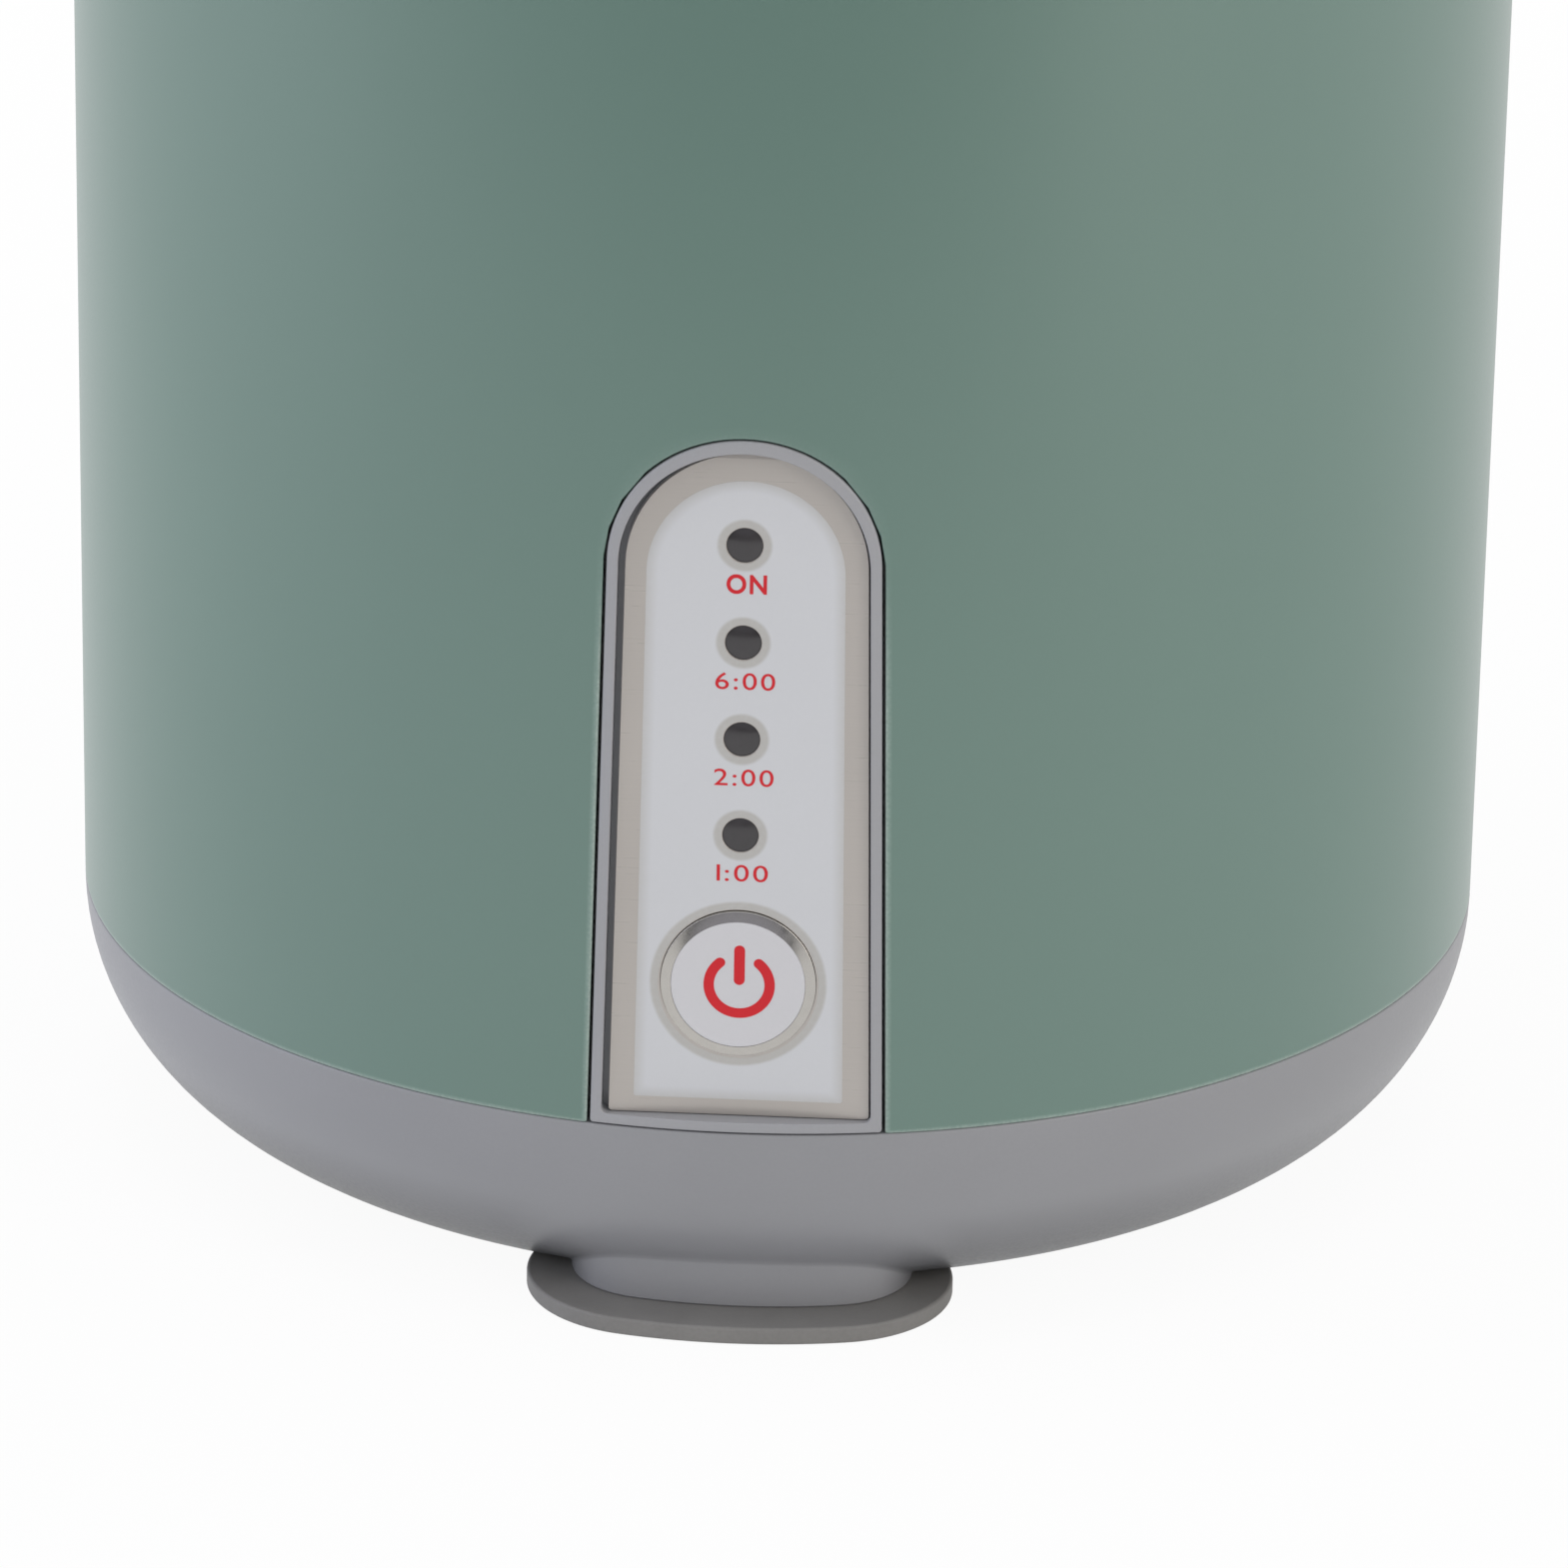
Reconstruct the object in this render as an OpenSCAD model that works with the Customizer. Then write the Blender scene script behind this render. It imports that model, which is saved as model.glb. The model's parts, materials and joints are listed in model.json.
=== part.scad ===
// Electric bottle shaker: a round body on three feet, with a bottle cup that swings to and fro
// on a geared spindle, and a front panel with a button and four indicators.
// Sizes are in millimetres. The origin is on the table under the middle of the body, +Z is up,
// and the panel faces -Y.

/* [Body] */
// Outside diameter of the body
body_d = 120; // [116:1:140]
// Height from the table to the top of the collar
body_h = 165; // [155:1:200]
// Height of the base bowl, from its flat underside to the seam
base_h = 18; // [16:0.5:22]
// Depth of the bowl's round that the flat underside cuts away
bowl_cut = 1.4; // [0.8:0.1:3]
// Wall of the base bowl
base_wall = 2.5; // [2:0.1:3]
// Wall of the outer shell
shell_wall = 2.4; // [2:0.1:3]
// Height of the collar above the shell
collar_h = 14; // [12:0.5:18]
// Rounding of the collar's outer edge
collar_round = 9; // [4:0.5:10]
// Rounding of the collar's mouth
mouth_round = 3; // [1:0.5:4]
// Height of the lips that hold the shell on the base and under the collar
lip_h = 4; // [3:0.5:6]
// Thickness of those lips
lip_t = 2; // [1.6:0.1:2.4]
// Height of the snap ribs on the lips
snap_h = 0.45; // [0.3:0.05:0.6]

/* [Feet] */
// Length of a foot pad, across the body
foot_l = 35; // [32:0.1:38]
// Width of a foot pad, towards the body's axis
foot_w = 22.6; // [21:0.1:24]
// Radius of a foot pad's two long sides
foot_side_r = 42; // [35:1:60]
// Thickness of a foot pad
foot_t = 1.5; // [1:0.1:3]
// Rim of a foot pad that stands out round its pedestal
foot_rim = 3.4; // [2:0.1:4]
// Distance by which a pedestal stands nearer to the body's axis than its pad
pedestal_in = 0.5; // [0:0.1:1]
// Distance from the body's side to the outer edge of a foot pad
foot_inset = 1.9; // [1.6:0.1:3.6]
// Diameter of the two plugs that hold a foot pad
foot_plug_d = 4; // [3:0.1:5]
// Height of those plugs
foot_plug_h = 1.4; // [1:0.1:1.6]
// Distance between those plugs
foot_plug_pitch = 16; // [15:0.5:18]

/* [Panel] */
// Radius of the panel frame's round top
panel_r = 10.9; // [10:0.1:13]
// Height of the centre of that round top above the seam
panel_spring = 48.3; // [46:0.1:52]
// Lean of each side of the panel frame, in degrees
panel_lean = 1.1; // [0:0.1:2]
// Width of the panel frame's face
bezel_face = 0.9; // [0.8:0.1:1.6]
// Depth of the panel frame, from the body's front to its back
bezel_depth = 4.3; // [3.8:0.1:6]
// Width of the flange that holds the frame behind the shell
bezel_flange = 2.5; // [1.5:0.1:4]
// Gap between the panel frame and the shell
panel_gap = 0.25; // [0.1:0.05:0.5]
// Depth of the steel plate's face behind the body's front
plate_recess = 1.5; // [1.2:0.1:2]
// Thickness of the steel plate
plate_t = 0.5; // [0.3:0.1:0.8]
// Gap between the steel plate and the frame
plate_gap = 0.35; // [0.3:0.05:0.8]
// Distance that the steel plate sits to the right in its frame
plate_shift = 0.2; // [0:0.05:0.25]
// Number of indicator windows
lens_count = 4; // [1:1:4]
// Diameter of an indicator window
lens_d = 3; // [2:0.1:4]
// Distance between indicator windows
lens_pitch = 8.2; // [6:0.1:8.6]
// Height of the lowest indicator window above the seam
lens_z = 25.4; // [24:0.1:27]

/* [Button] */
// Diameter of the button's cap
button_d = 10.8; // [8:0.1:11]
// Height of the button's centre above the seam
button_z = 12.55; // [11:0.05:14]
// Distance that the button travels
button_travel = 0.5; // [0.3:0.1:0.8]
// Width of the polished ring round the button
ring_w = 0.85; // [0.4:0.05:1]
// Height of the ring's inner edge, and of the button, above the plate
ring_rise = 0.2; // [0:0.05:0.5]
// Depth of the polished ring
ring_depth = 2; // [1.6:0.1:2.4]
// Running gap round the button's cap
button_gap = 0.1; // [0.05:0.05:0.4]
// Width of the cap's flange behind the frame
cap_flange = 1.1; // [0.8:0.1:1.4]

/* [Control board] */
// Width of the control board
board_w = 26; // [24:0.5:28]
// Height of the control board
board_h = 53; // [50:0.5:55]
// Thickness of the control board
board_t = 1.6; // [1:0.1:2]
// Height of the board's lower edge above the seam
board_z = 3; // [2:0.5:4]
// Side of the square switch on the board
switch_w = 6; // [5:0.1:8]
// Height of the switch above the board
switch_h = 3.5; // [3:0.1:5]
// Diameter of the switch's plunger
plunger_d = 3.3; // [2.5:0.1:4]
// Distance from the button's cap to the switch
plunger_out = 1.5; // [1.2:0.1:3]

/* [Cup] */
// Diameter of the bottle that the liner takes
bottle_d = 75; // [60:1:76]
// Thickness of the liner's wall
liner_t = 3.4; // [2:0.1:3.6]
// Thickness of the liner's floor
liner_floor = 2.5; // [1.5:0.1:4]
// Height of the liner's rim over the cup
liner_rim = 1.5; // [1:0.1:3]
// Wall and floor of the cup
cup_wall = 2.5; // [2:0.1:3]
// Gap between the cup and the collar's mouth
cup_gap = 1.5; // [1:0.1:2]
// Depth of the liner's rim below the collar's top
cup_drop = 2.5; // [1:0.1:5]
// Diameter of the spindle's top disc
disc_d = 32; // [28:1:40]
// Thickness of the spindle's top disc
disc_t = 3; // [2:0.1:5]

/* [Drive] */
// Module of the motor's gear pair
module_1 = 0.7; // [0.6:0.05:0.8]
// Teeth of the motor's pinion
pinion_1 = 10; // [10:1:12]
// Teeth of the wheel that it drives
wheel_1 = 40; // [36:1:44]
// Module of the spindle's gear pair
module_2 = 1; // [0.9:0.05:1.1]
// Teeth of the pinion beside that wheel
pinion_2 = 14; // [12:1:16]
// Teeth of the spindle's gear
wheel_2 = 42; // [38:1:44]
// Face width of the first wheel
wheel_1_w = 4; // [3:0.5:5]
// Face width of the spindle's gear
wheel_2_w = 6; // [4:0.5:8]
// Play between meshing teeth
backlash = 0.14; // [0.1:0.01:0.25]
// Diameter of the spindle
spindle_d = 8; // [6:0.5:10]
// Diameter of the axle that the middle gear turns on
axle_d = 5; // [4:0.5:6]
// Diameter of the motor's can
motor_d = 28; // [24:0.5:29]
// Length of the motor's can
motor_l = 31; // [26:0.5:33]
// Diameter of the motor's shaft
motor_shaft_d = 2.3; // [2:0.1:3]
// Length of the posts between the base and the deck
post_l = 41.5; // [37:0.5:42]
// Thickness of the gear deck
deck_t = 3; // [2.5:0.1:4]
// Length of the pillars between the deck and the bearing plate
pillar_l = 15; // [14.5:0.5:20]
// Thickness of the bearing plate
bearing_plate_t = 3; // [2.5:0.1:4]

/* [Power inlet] */
// Height of the inlet's centre above the seam
inlet_z = 12.5; // [11:0.5:14]
// Diameter of the inlet's nose
inlet_d = 8; // [7:0.1:9]
// Diameter of the inlet's opening
inlet_bore_d = 5.8; // [5.6:0.1:6.5]
// Diameter of the inlet's centre pin
inlet_pin_d = 2.1; // [1.6:0.1:2.5]

/* [Hidden] */
$fn = 96;

// Small distances shared by many pieces: an overlap for cuts, a locating gap, a snug gap round
// a fixed pin, a running gap round a shaft, a loose gap round a screw's shank, a clear gap between
// pieces that pass each other and the depth of a blind hole past its screw.
cut = 1;
fit_gap = 0.15;
snug_gap = 0.02;
run_gap = 0.05;
hole_gap = 0.1;
clear_gap = 0.3;
blind = 0.5;

// Body
body_r = body_d / 2;
shell_r = body_r - shell_wall;
base_z = foot_t;
seam_z = base_z + base_h;
floor_z = base_z + base_wall;
bowl_r = base_h + bowl_cut;
bowl_c = body_r - bowl_r;
lip_r = shell_r - fit_gap;
lip_in = lip_r - lip_t;
lip_break_gap = 1;
shell_top = body_h - collar_h;
snap_half = 0.6;
feet = [0, 120, 240];

// Feet, and their pedestals, whose tops end inside the bowl's wall
foot_pcr = body_r - foot_inset - foot_w / 2;
foot_end_r = (foot_side_r * foot_w - pow(foot_l / 2, 2) - pow(foot_w / 2, 2)) / (2 * foot_side_r - foot_l);
foot_plug_gap = 0.2;
pedestal_sink = 1;
pedestal_pcr = foot_pcr - pedestal_in;
pedestal_front = pedestal_pcr + foot_w / 2 - foot_rim;
pedestal_top = seam_z - sqrt(pow(bowl_r, 2) - pow(pedestal_front - bowl_c, 2)) + pedestal_sink;

// Screws: shank radius, head radius and head height of the three sizes used
m3 = [1.5, 2.75, 2];
m25 = [1.25, 2.2, 1.6];
m2 = [1, 1.9, 1.3];
shank = 0;
head = 1;
head_h = 2;

// Posts under the deck stand on bosses in the base, over the feet
post_inset = 5.7;
post_pcr = foot_pcr - post_inset;
post_r = 4;
boss_rim = 0.5;
boss_r = post_r + boss_rim;
boss_h = 4;
head_gap = 0.25;
head_sink = 2.8;
post_z = floor_z + boss_h;
deck_z = post_z + post_l;
deck_top = deck_z + deck_t;
deck_gap = 0.6;
deck_r = shell_r - deck_gap;
base_screw_bite = 10;
base_screw_l = boss_h + base_screw_bite;

// Pillars on the deck carry the bearing plate
plate_z = deck_top + pillar_l;
plate_top = plate_z + bearing_plate_t;
pillar_r = 4;
pillar_inset = 3.6;
pillar_pcr = shell_r - pillar_r - pillar_inset;
plate_rim = 0.5;
bearing_plate_r = pillar_pcr + pillar_r + plate_rim;
pillar_screw_l = 10;

// Panel, from the front to the back. Y runs into the body.
seam_gap = 0.1;
panel_bottom = seam_z + seam_gap;
spring_z = seam_z + panel_spring;
plate_y = plate_recess - body_r;
plate_back = plate_y + plate_t;
bezel_r = body_r - bezel_depth;
flange_r = shell_r - fit_gap;
lens_r = lens_d / 2;
lens_flange_w = 0.7;
lens_flange_t = 0.5;
bezel_hollow = 0.7;
behind_bezel = bezel_hollow - bezel_r;
button_h = seam_z + button_z;
cap_r = button_d / 2;
ring_in = cap_r + button_gap;
ring_out = ring_in + ring_w;
cap_flange_t = 1;
cap_back = behind_bezel + cap_flange_t;
board_y = cap_back + plunger_out + switch_h;
board_back = board_y + board_t;
board_bottom = seam_z + board_z;
plunger_seat = 0.9;
plunger_l = plunger_out + button_travel + plunger_seat;
plunger_well = plunger_l - plunger_out + button_travel + clear_gap;
led_flange_w = 0.4;
led_flange_t = 1;
led_gap = 0.2;
led_tip = behind_bezel + led_gap;

// Board screws sit in pairs, below the button and midway between the second and third windows
screw_inset = 4.6;
screw_rise = 2;
screw_x = board_w / 2 - screw_inset;
screw_zs = [board_bottom + screw_rise, seam_z + lens_z + lens_pitch * 1.5];
standoff_r = 2.2;
board_screw_l = 4.5;
chip_w = 10;
chip_h = 4;
chip_t = 1.6;
connector_w = 7;
connector_l = 5;
connector_h = 6;
connector_gap = 10;
connector_rise = 18;
connector_x = (connector_gap + connector_w) / 2;
connector_z = seam_z + connector_rise;

// The deck and the bearing plate stay behind the board
notch_side = 3;
notch_gap = 1.8;
notch_w = board_w + 2 * notch_side;
notch_y = board_back + notch_gap;

// Gears: the middle gear is behind the spindle, and the motor is to its right and a little back
pressure = 25;
addendum = 0.8;
dedendum = 1.05;
flank_steps = 4;
motor_way = 10;
middle_y = module_2 * (pinion_2 + wheel_2) / 2;
motor_reach = module_1 * (pinion_1 + wheel_1) / 2;
motor_x = motor_reach * cos(motor_way);
motor_y = middle_y + motor_reach * sin(motor_way);
washer_t = 1;
washer_w = 2.5;
middle_z = deck_top + washer_t + run_gap;
wheel_1_top = middle_z + wheel_1_w;
wheel_gap = 0.9;
spindle_gear_z = wheel_1_top + wheel_gap;
spindle_gear_top = spindle_gear_z + wheel_2_w;
middle_top = plate_z - clear_gap;
middle_hub_wall = 2;
pinion_2_over = 0.5;
pinion_2_top = spindle_gear_top + pinion_2_over;
gear_hub_h = plate_z - spindle_gear_top - clear_gap * 2;
axle_r = axle_d / 2;

// Spindle, bushes and clip
spindle_r = spindle_d / 2;
bush_wall = 2;
bush_r = spindle_r + run_gap + bush_wall;
bush_flange_w = 2.5;
bush_flange_r = bush_r + bush_flange_w;
bush_flange_t = 1.5;
hub_wall = 3.5;
hub_r = bush_r + hub_wall;
hub_drop = 7;
hub_bottom = deck_z - hub_drop;
clip_t = 0.8;
clip_z = hub_bottom - clear_gap - clip_t;
clip_depth = 0.8;
spindle_tail = 2;
spindle_bottom = clip_z - spindle_tail;
thrust_z = plate_top + bush_flange_t;
disc_z = thrust_z + washer_t + run_gap;
disc_r = disc_d / 2;
gear_hub_wall = 5;
gear_hub_r = spindle_r + gear_hub_wall;
set_screw_sink = 0.6;
set_screw_l = gear_hub_wall - set_screw_sink;
set_screw_z = spindle_gear_top + gear_hub_h / 2;

// Cup and liner
cup_z = disc_z + disc_t;
cup_floor = cup_z + cup_wall;
liner_in = bottle_d / 2;
liner_out = liner_in + liner_t;
cup_in = liner_out + fit_gap;
cup_r = cup_in + cup_wall;
cup_top = body_h - cup_drop - liner_rim;
liner_top = cup_top + liner_rim;
mouth_r = cup_r + cup_gap;
cup_screw_pcr = (spindle_r + disc_r) / 2;
cup_screw_end = 0.6;
cup_screw_l = disc_t + cup_wall - m3[head_h] - cup_screw_end;

// The collar's outer round leaves room for the round of its mouth
collar_edge = min(collar_round, body_r - mouth_r - mouth_round);

// Motor under the deck
motor_r = motor_d / 2;
motor_z = deck_z - motor_l;
motor_boss_r = 5;
motor_boss_sink = 0.5;
motor_boss_h = deck_t - motor_boss_sink;
motor_shaft_r = motor_shaft_d / 2;
motor_shaft_well = 12;
motor_shaft_z = deck_z - motor_shaft_well + clear_gap;
motor_shaft_over = 0.5;
end_cap_rim = 0.6;
end_cap_h = 3;
end_cap_z = motor_z - end_cap_h;
terminal_w = 3;
terminal_t = 0.6;
terminal_l = 4;
terminal_x = 5;
motor_screw_x = 8;
motor_screw_bite = 3;
motor_screw_l = deck_t + motor_screw_bite;
pinion_1_gap = 0.6;
pinion_1_z = deck_top + pinion_1_gap;
pinion_1_over = 1;
pinion_1_top = wheel_1_top + pinion_1_over;
pinion_1_h = pinion_1_top - pinion_1_z;

// Power inlet at the back
inlet_h = seam_z + inlet_z;
inlet_r = inlet_d / 2;
inlet_w = 12;
inlet_l = 11;
inlet_front = shell_r - deck_gap;
inlet_back = inlet_front - inlet_l;
inlet_sink = 0.1;
inlet_nose = body_r - inlet_sink;
inlet_bore_l = 9;
inlet_pin_sink = 1;
inlet_terminal_x = 2.6;
inlet_terminal_w = 2;
inlet_terminal_l = 2.5;
inlet_terminal_t = 0.6;

// Leads: each leaves straight, for a length, and sags to a low middle point
lead_r = 0.7;
lead_sides = 8;
lead_rings = 20;
lead_pitch = 2.1;
lead_out = 14;
lead_joint = 2.8;
inlet_sag_h = 4;
motor_sag_x = 3;
motor_sag_y = -10;
motor_sag_h = 8;

body_green = "#758b84";
frame_grey = "#8e8f93";
pad_rubber = "#4a4a4c";
plate_steel = "#a9a5a1";
cap_white = "#d8d8da";
smoke = "#4c4a4e";
bright = "#c6c4c2";
board_green = "#2e6b46";
inner_black = "#2b2b2d";
deck_white = "#d9d6cc";
nylon = "#e8e4d6";
bronze = "#a8814b";
steel = "#9a9ca0";
liner_blue = "#b9c4c4";
lead_red = "#b03a3a";

// Shared shapes

// A flat outline of X and Z, made solid from y0 to y1
module slab(y0, y1) {
    translate([0, y1, 0])
        rotate([90, 0, 0])
            linear_extrude(height = y1 - y0)
                children();
}

// A round bar along Y, at x and z
module bar(r, y0, y1, x, z) {
    translate([x, y1, z])
        rotate([90, 0, 0])
            cylinder(r = r, h = y1 - y0);
}

// A ring round the body's axis
module ring(r_in, r_out, z0, z1) {
    translate([0, 0, z0])
        difference() {
            cylinder(r = r_out, h = z1 - z0);
            translate([0, 0, -cut])
                cylinder(r = r_in, h = z1 - z0 + 2 * cut);
        }
}

// A screw that points up from its head's top face at z = 0
module screw(size, length) {
    translate([0, 0, -size[head_h]])
        cylinder(r = size[head], h = size[head_h]);
    cylinder(r = size[shank], h = length);
}

// An oval of four arcs: two ends of radius r and two long sides that meet them smoothly
module oval(a, b, r) {
    side_r = (pow(a - r, 2) + pow(b, 2) - pow(r, 2)) / (2 * (b - r));
    meet_x = (a - r) * side_r / (side_r - r);
    for (side = [-1, 1])
        translate([side * (a - r), 0])
            circle(r = r);
    intersection() {
        translate([0, side_r - b])
            circle(r = side_r);
        translate([0, b - side_r])
            circle(r = side_r);
        translate([-meet_x, -b])
            square([2 * meet_x, 2 * b]);
    }
}

// The panel's outline, drawn in by inset: leaning sides under a round top
module arch(inset, bottom) {
    r = panel_r - inset;
    half_bottom = r + (spring_z - bottom) * tan(panel_lean);
    polygon([[-half_bottom, bottom], [half_bottom, bottom], [r, spring_z], [-r, spring_z]]);
    translate([0, spring_z])
        circle(r = r);
}

// A band with two rounded upper edges, as a profile of radius and height
module rounded_band(r_in, r_out, z0, z1, round_in, round_out) {
    difference() {
        translate([r_in, z0])
            square([r_out - r_in, z1 - z0]);
        translate([r_out - round_out, z1 - round_out])
            square(round_out + cut);
        translate([r_in - cut, z1 - round_in])
            square(round_in + cut);
    }
    rounded_corner(r_out - round_out, z1 - round_out, round_out, 0);
    rounded_corner(r_in + round_in, z1 - round_in, round_in, -round_in);
}

// A quarter of a round of radius r about a centre, whose square starts at side from the centre
module rounded_corner(x, z, r, side) {
    translate([x, z])
        intersection() {
            circle(r = r);
            translate([side, 0])
                square(r);
        }
}

// A snap rib's profile, standing out from radius r at height z
module snap_profile(r, z) {
    polygon([[r - cut, z - snap_half], [r, z - snap_half], [r + snap_h, z],
             [r, z + snap_half], [r - cut, z + snap_half]]);
}

// The angle by which an involute has turned at a given pressure angle
function involute(angle) = tan(angle) * 180 / PI - angle;

// Half the angle that a tooth spans at radius r, on a gear with a given pitch and base radius
function tooth_half(r, pitch_r, base_r, mod) =
    (PI * mod / 4 - backlash / 4) / pitch_r * 180 / PI + involute(pressure)
    - involute(acos(min(1, base_r / r)));

// One tooth's outline, from root to tip and down again
function tooth(mod, teeth, turn) =
    let (pitch_r = mod * teeth / 2,
         base_r = pitch_r * cos(pressure),
         root_r = pitch_r - mod * dedendum,
         tip_r = pitch_r + mod * addendum,
         foot_r = max(base_r, root_r),
         radii = [for (i = [0 : flank_steps]) foot_r + (tip_r - foot_r) * i / flank_steps],
         halves = [for (r = radii) tooth_half(r, pitch_r, base_r, mod)])
    concat([[root_r, turn - halves[0]]],
           [for (i = [0 : flank_steps]) [radii[i], turn - halves[i]]],
           [for (i = [flank_steps : -1 : 0]) [radii[i], turn + halves[i]]],
           [[root_r, turn + halves[0]]]);

// A spur gear with a tooth at angle turn
module spur(mod, teeth, turn, height) {
    points = [for (n = [0 : teeth - 1]) each tooth(mod, teeth, turn + n * 360 / teeth)];
    linear_extrude(height = height)
        polygon([for (p = points) [p[0] * cos(p[1]), p[0] * sin(p[1])]]);
}

// The turn that puts a gear in mesh with one that has a tooth at 0, seen along that direction
function mesh_turn(direction, teeth_other, teeth) =
    direction + 180 + (direction * teeth_other / 360 + 0.5) * 360 / teeth;

// A point on the smooth curve that guide points draw, and the curve's way there
function bend(p, t) =
    len(p) == 1 ? p[0] : bend([for (i = [0 : len(p) - 2]) p[i] * (1 - t) + p[i + 1] * t], t);
function bend_way(p, t) = bend([for (i = [0 : len(p) - 2]) p[i + 1] - p[i]], t);

// A lead that follows such a curve; it never runs along X
module lead(guide) {
    points = [for (i = [0 : lead_rings])
        let (t = i / lead_rings,
             way = bend_way(guide, t) / norm(bend_way(guide, t)),
             across = [1, 0, 0] - way[0] * way,
             side = across / norm(across),
             up = cross(way, side))
        for (k = [0 : lead_sides - 1])
            let (turn = k * 360 / lead_sides)
                bend(guide, t) + lead_r * (side * cos(turn) + up * sin(turn))];
    walls = [for (i = [0 : lead_rings - 1], k = [0 : lead_sides - 1])
        let (a = i * lead_sides + k,
             b = i * lead_sides + (k + 1) % lead_sides)
        each [[a + lead_sides, b, a], [a + lead_sides, b + lead_sides, b]]];
    last = lead_rings * lead_sides;
    ends = [[for (k = [0 : lead_sides - 1]) k],
            [for (k = [lead_sides - 1 : -1 : 0]) last + k]];
    polyhedron(points = points, faces = concat(walls, ends), convexity = 6);
}

// Base and feet

// Solid outline of the base bowl: a flat underside and a round side
module bowl_outline() {
    translate([0, base_z])
        square([bowl_c, base_h]);
    intersection() {
        translate([bowl_c, seam_z])
            circle(r = bowl_r);
        translate([bowl_c, base_z])
            square([bowl_r, base_h]);
    }
}

// Hollow of the base bowl, which stops short of the lip's inner face
module bowl_hollow() {
    translate([0, floor_z])
        square([bowl_c, base_h]);
    intersection() {
        translate([bowl_c, seam_z])
            circle(r = bowl_r - base_wall);
        translate([bowl_c, floor_z])
            square([lip_in - bowl_c, base_h]);
    }
}

module foot_plugs(r, height) {
    for (side = [-1, 1])
        translate([side * foot_plug_pitch / 2, -foot_pcr, base_z])
            cylinder(r = r, h = height);
}

module base_housing() {
    color(frame_grey)
        difference() {
            union() {
                difference() {
                    union() {
                        rotate_extrude()
                            bowl_outline();
                        for (turn = feet)
                            rotate([0, 0, turn])
                                translate([0, -pedestal_pcr, base_z])
                                    linear_extrude(height = pedestal_top - base_z)
                                        oval(foot_l / 2 - foot_rim, foot_w / 2 - foot_rim,
                                             foot_end_r - foot_rim);
                    }
                    rotate_extrude()
                        bowl_hollow();
                }
                for (turn = feet)
                    rotate([0, 0, turn])
                        translate([0, -post_pcr, base_z])
                            cylinder(r = boss_r, h = post_z - base_z);
                difference() {
                    union() {
                        ring(lip_in, lip_r, seam_z - cut, seam_z + lip_h);
                        rotate_extrude()
                            snap_profile(lip_r, seam_z + lip_h / 2);
                    }
                    base_lip_break();
                }
            }
            for (turn = feet)
                rotate([0, 0, turn]) {
                    translate([0, -post_pcr, base_z - cut]) {
                        cylinder(r = m3[shank] + hole_gap, h = post_z - base_z + 2 * cut);
                        cylinder(r = m3[head] + head_gap, h = head_sink + cut);
                    }
                    translate([0, 0, -cut])
                        foot_plugs(foot_plug_d / 2 + snug_gap, foot_plug_h + foot_plug_gap + cut);
                }
        }
}

// The gap in the base's lip, where the panel frame comes down to the seam
module base_lip_break() {
    half = panel_r + panel_spring * tan(panel_lean) + bezel_flange + lip_break_gap;
    translate([-half, -body_r, seam_z])
        cube([2 * half, body_r / 2, lip_h + cut]);
}

module foot_pad(turn) {
    color(pad_rubber)
        rotate([0, 0, turn]) {
            translate([0, -foot_pcr, 0])
                linear_extrude(height = foot_t)
                    oval(foot_l / 2, foot_w / 2, foot_end_r);
            foot_plugs(foot_plug_d / 2, foot_plug_h);
        }
}

module foot_front() {
    foot_pad(feet[0]);
}

module foot_right() {
    foot_pad(feet[1]);
}

module foot_left() {
    foot_pad(feet[2]);
}

module base_screws() {
    color(steel)
        for (turn = feet)
            rotate([0, 0, turn])
                translate([0, -post_pcr, base_z + head_sink])
                    screw(m3, base_screw_l);
}

// Shell and collar

module outer_shell() {
    color(body_green)
        difference() {
            ring(shell_r, body_r, seam_z, shell_top);
            slab(-body_r - cut, -body_r / 2)
                arch(-panel_gap, seam_z - cut);
            rotate_extrude() {
                snap_profile(shell_r, seam_z + lip_h / 2);
                snap_profile(shell_r, shell_top - lip_h / 2);
            }
            bar(inlet_r + fit_gap, shell_r / 2, body_r + cut, 0, inlet_h);
        }
}

module top_collar() {
    color(frame_grey)
        difference() {
            union() {
                rotate_extrude()
                    rounded_band(mouth_r, body_r, shell_top, body_h, mouth_round, collar_edge);
                ring(lip_in, lip_r, shell_top - lip_h, shell_top + cut);
                rotate_extrude()
                    snap_profile(lip_r, shell_top - lip_h / 2);
            }
            ring(mouth_r + cup_wall, lip_in, shell_top - lip_h - cut, body_h - collar_edge);
        }
}

// Front panel

module window_centres() {
    for (n = [0 : lens_count - 1])
        translate([0, 0, seam_z + lens_z + n * lens_pitch])
            children();
}

module screw_centres() {
    for (side = [-1, 1], z = screw_zs)
        translate([side * screw_x, 0, z])
            children();
}

// The frame's front stands in the slot, and its wider flange lies behind the shell
module bezel_blank() {
    difference() {
        union() {
            intersection() {
                slab(-body_r - cut, -body_r / 2)
                    arch(0, panel_bottom);
                cylinder(r = body_r, h = body_h);
            }
            intersection() {
                slab(-body_r - cut, -body_r / 2)
                    arch(-bezel_flange, panel_bottom);
                cylinder(r = flange_r, h = body_h);
            }
        }
        translate([0, 0, -cut])
            cylinder(r = bezel_r, h = body_h + 2 * cut);
    }
}

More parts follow.
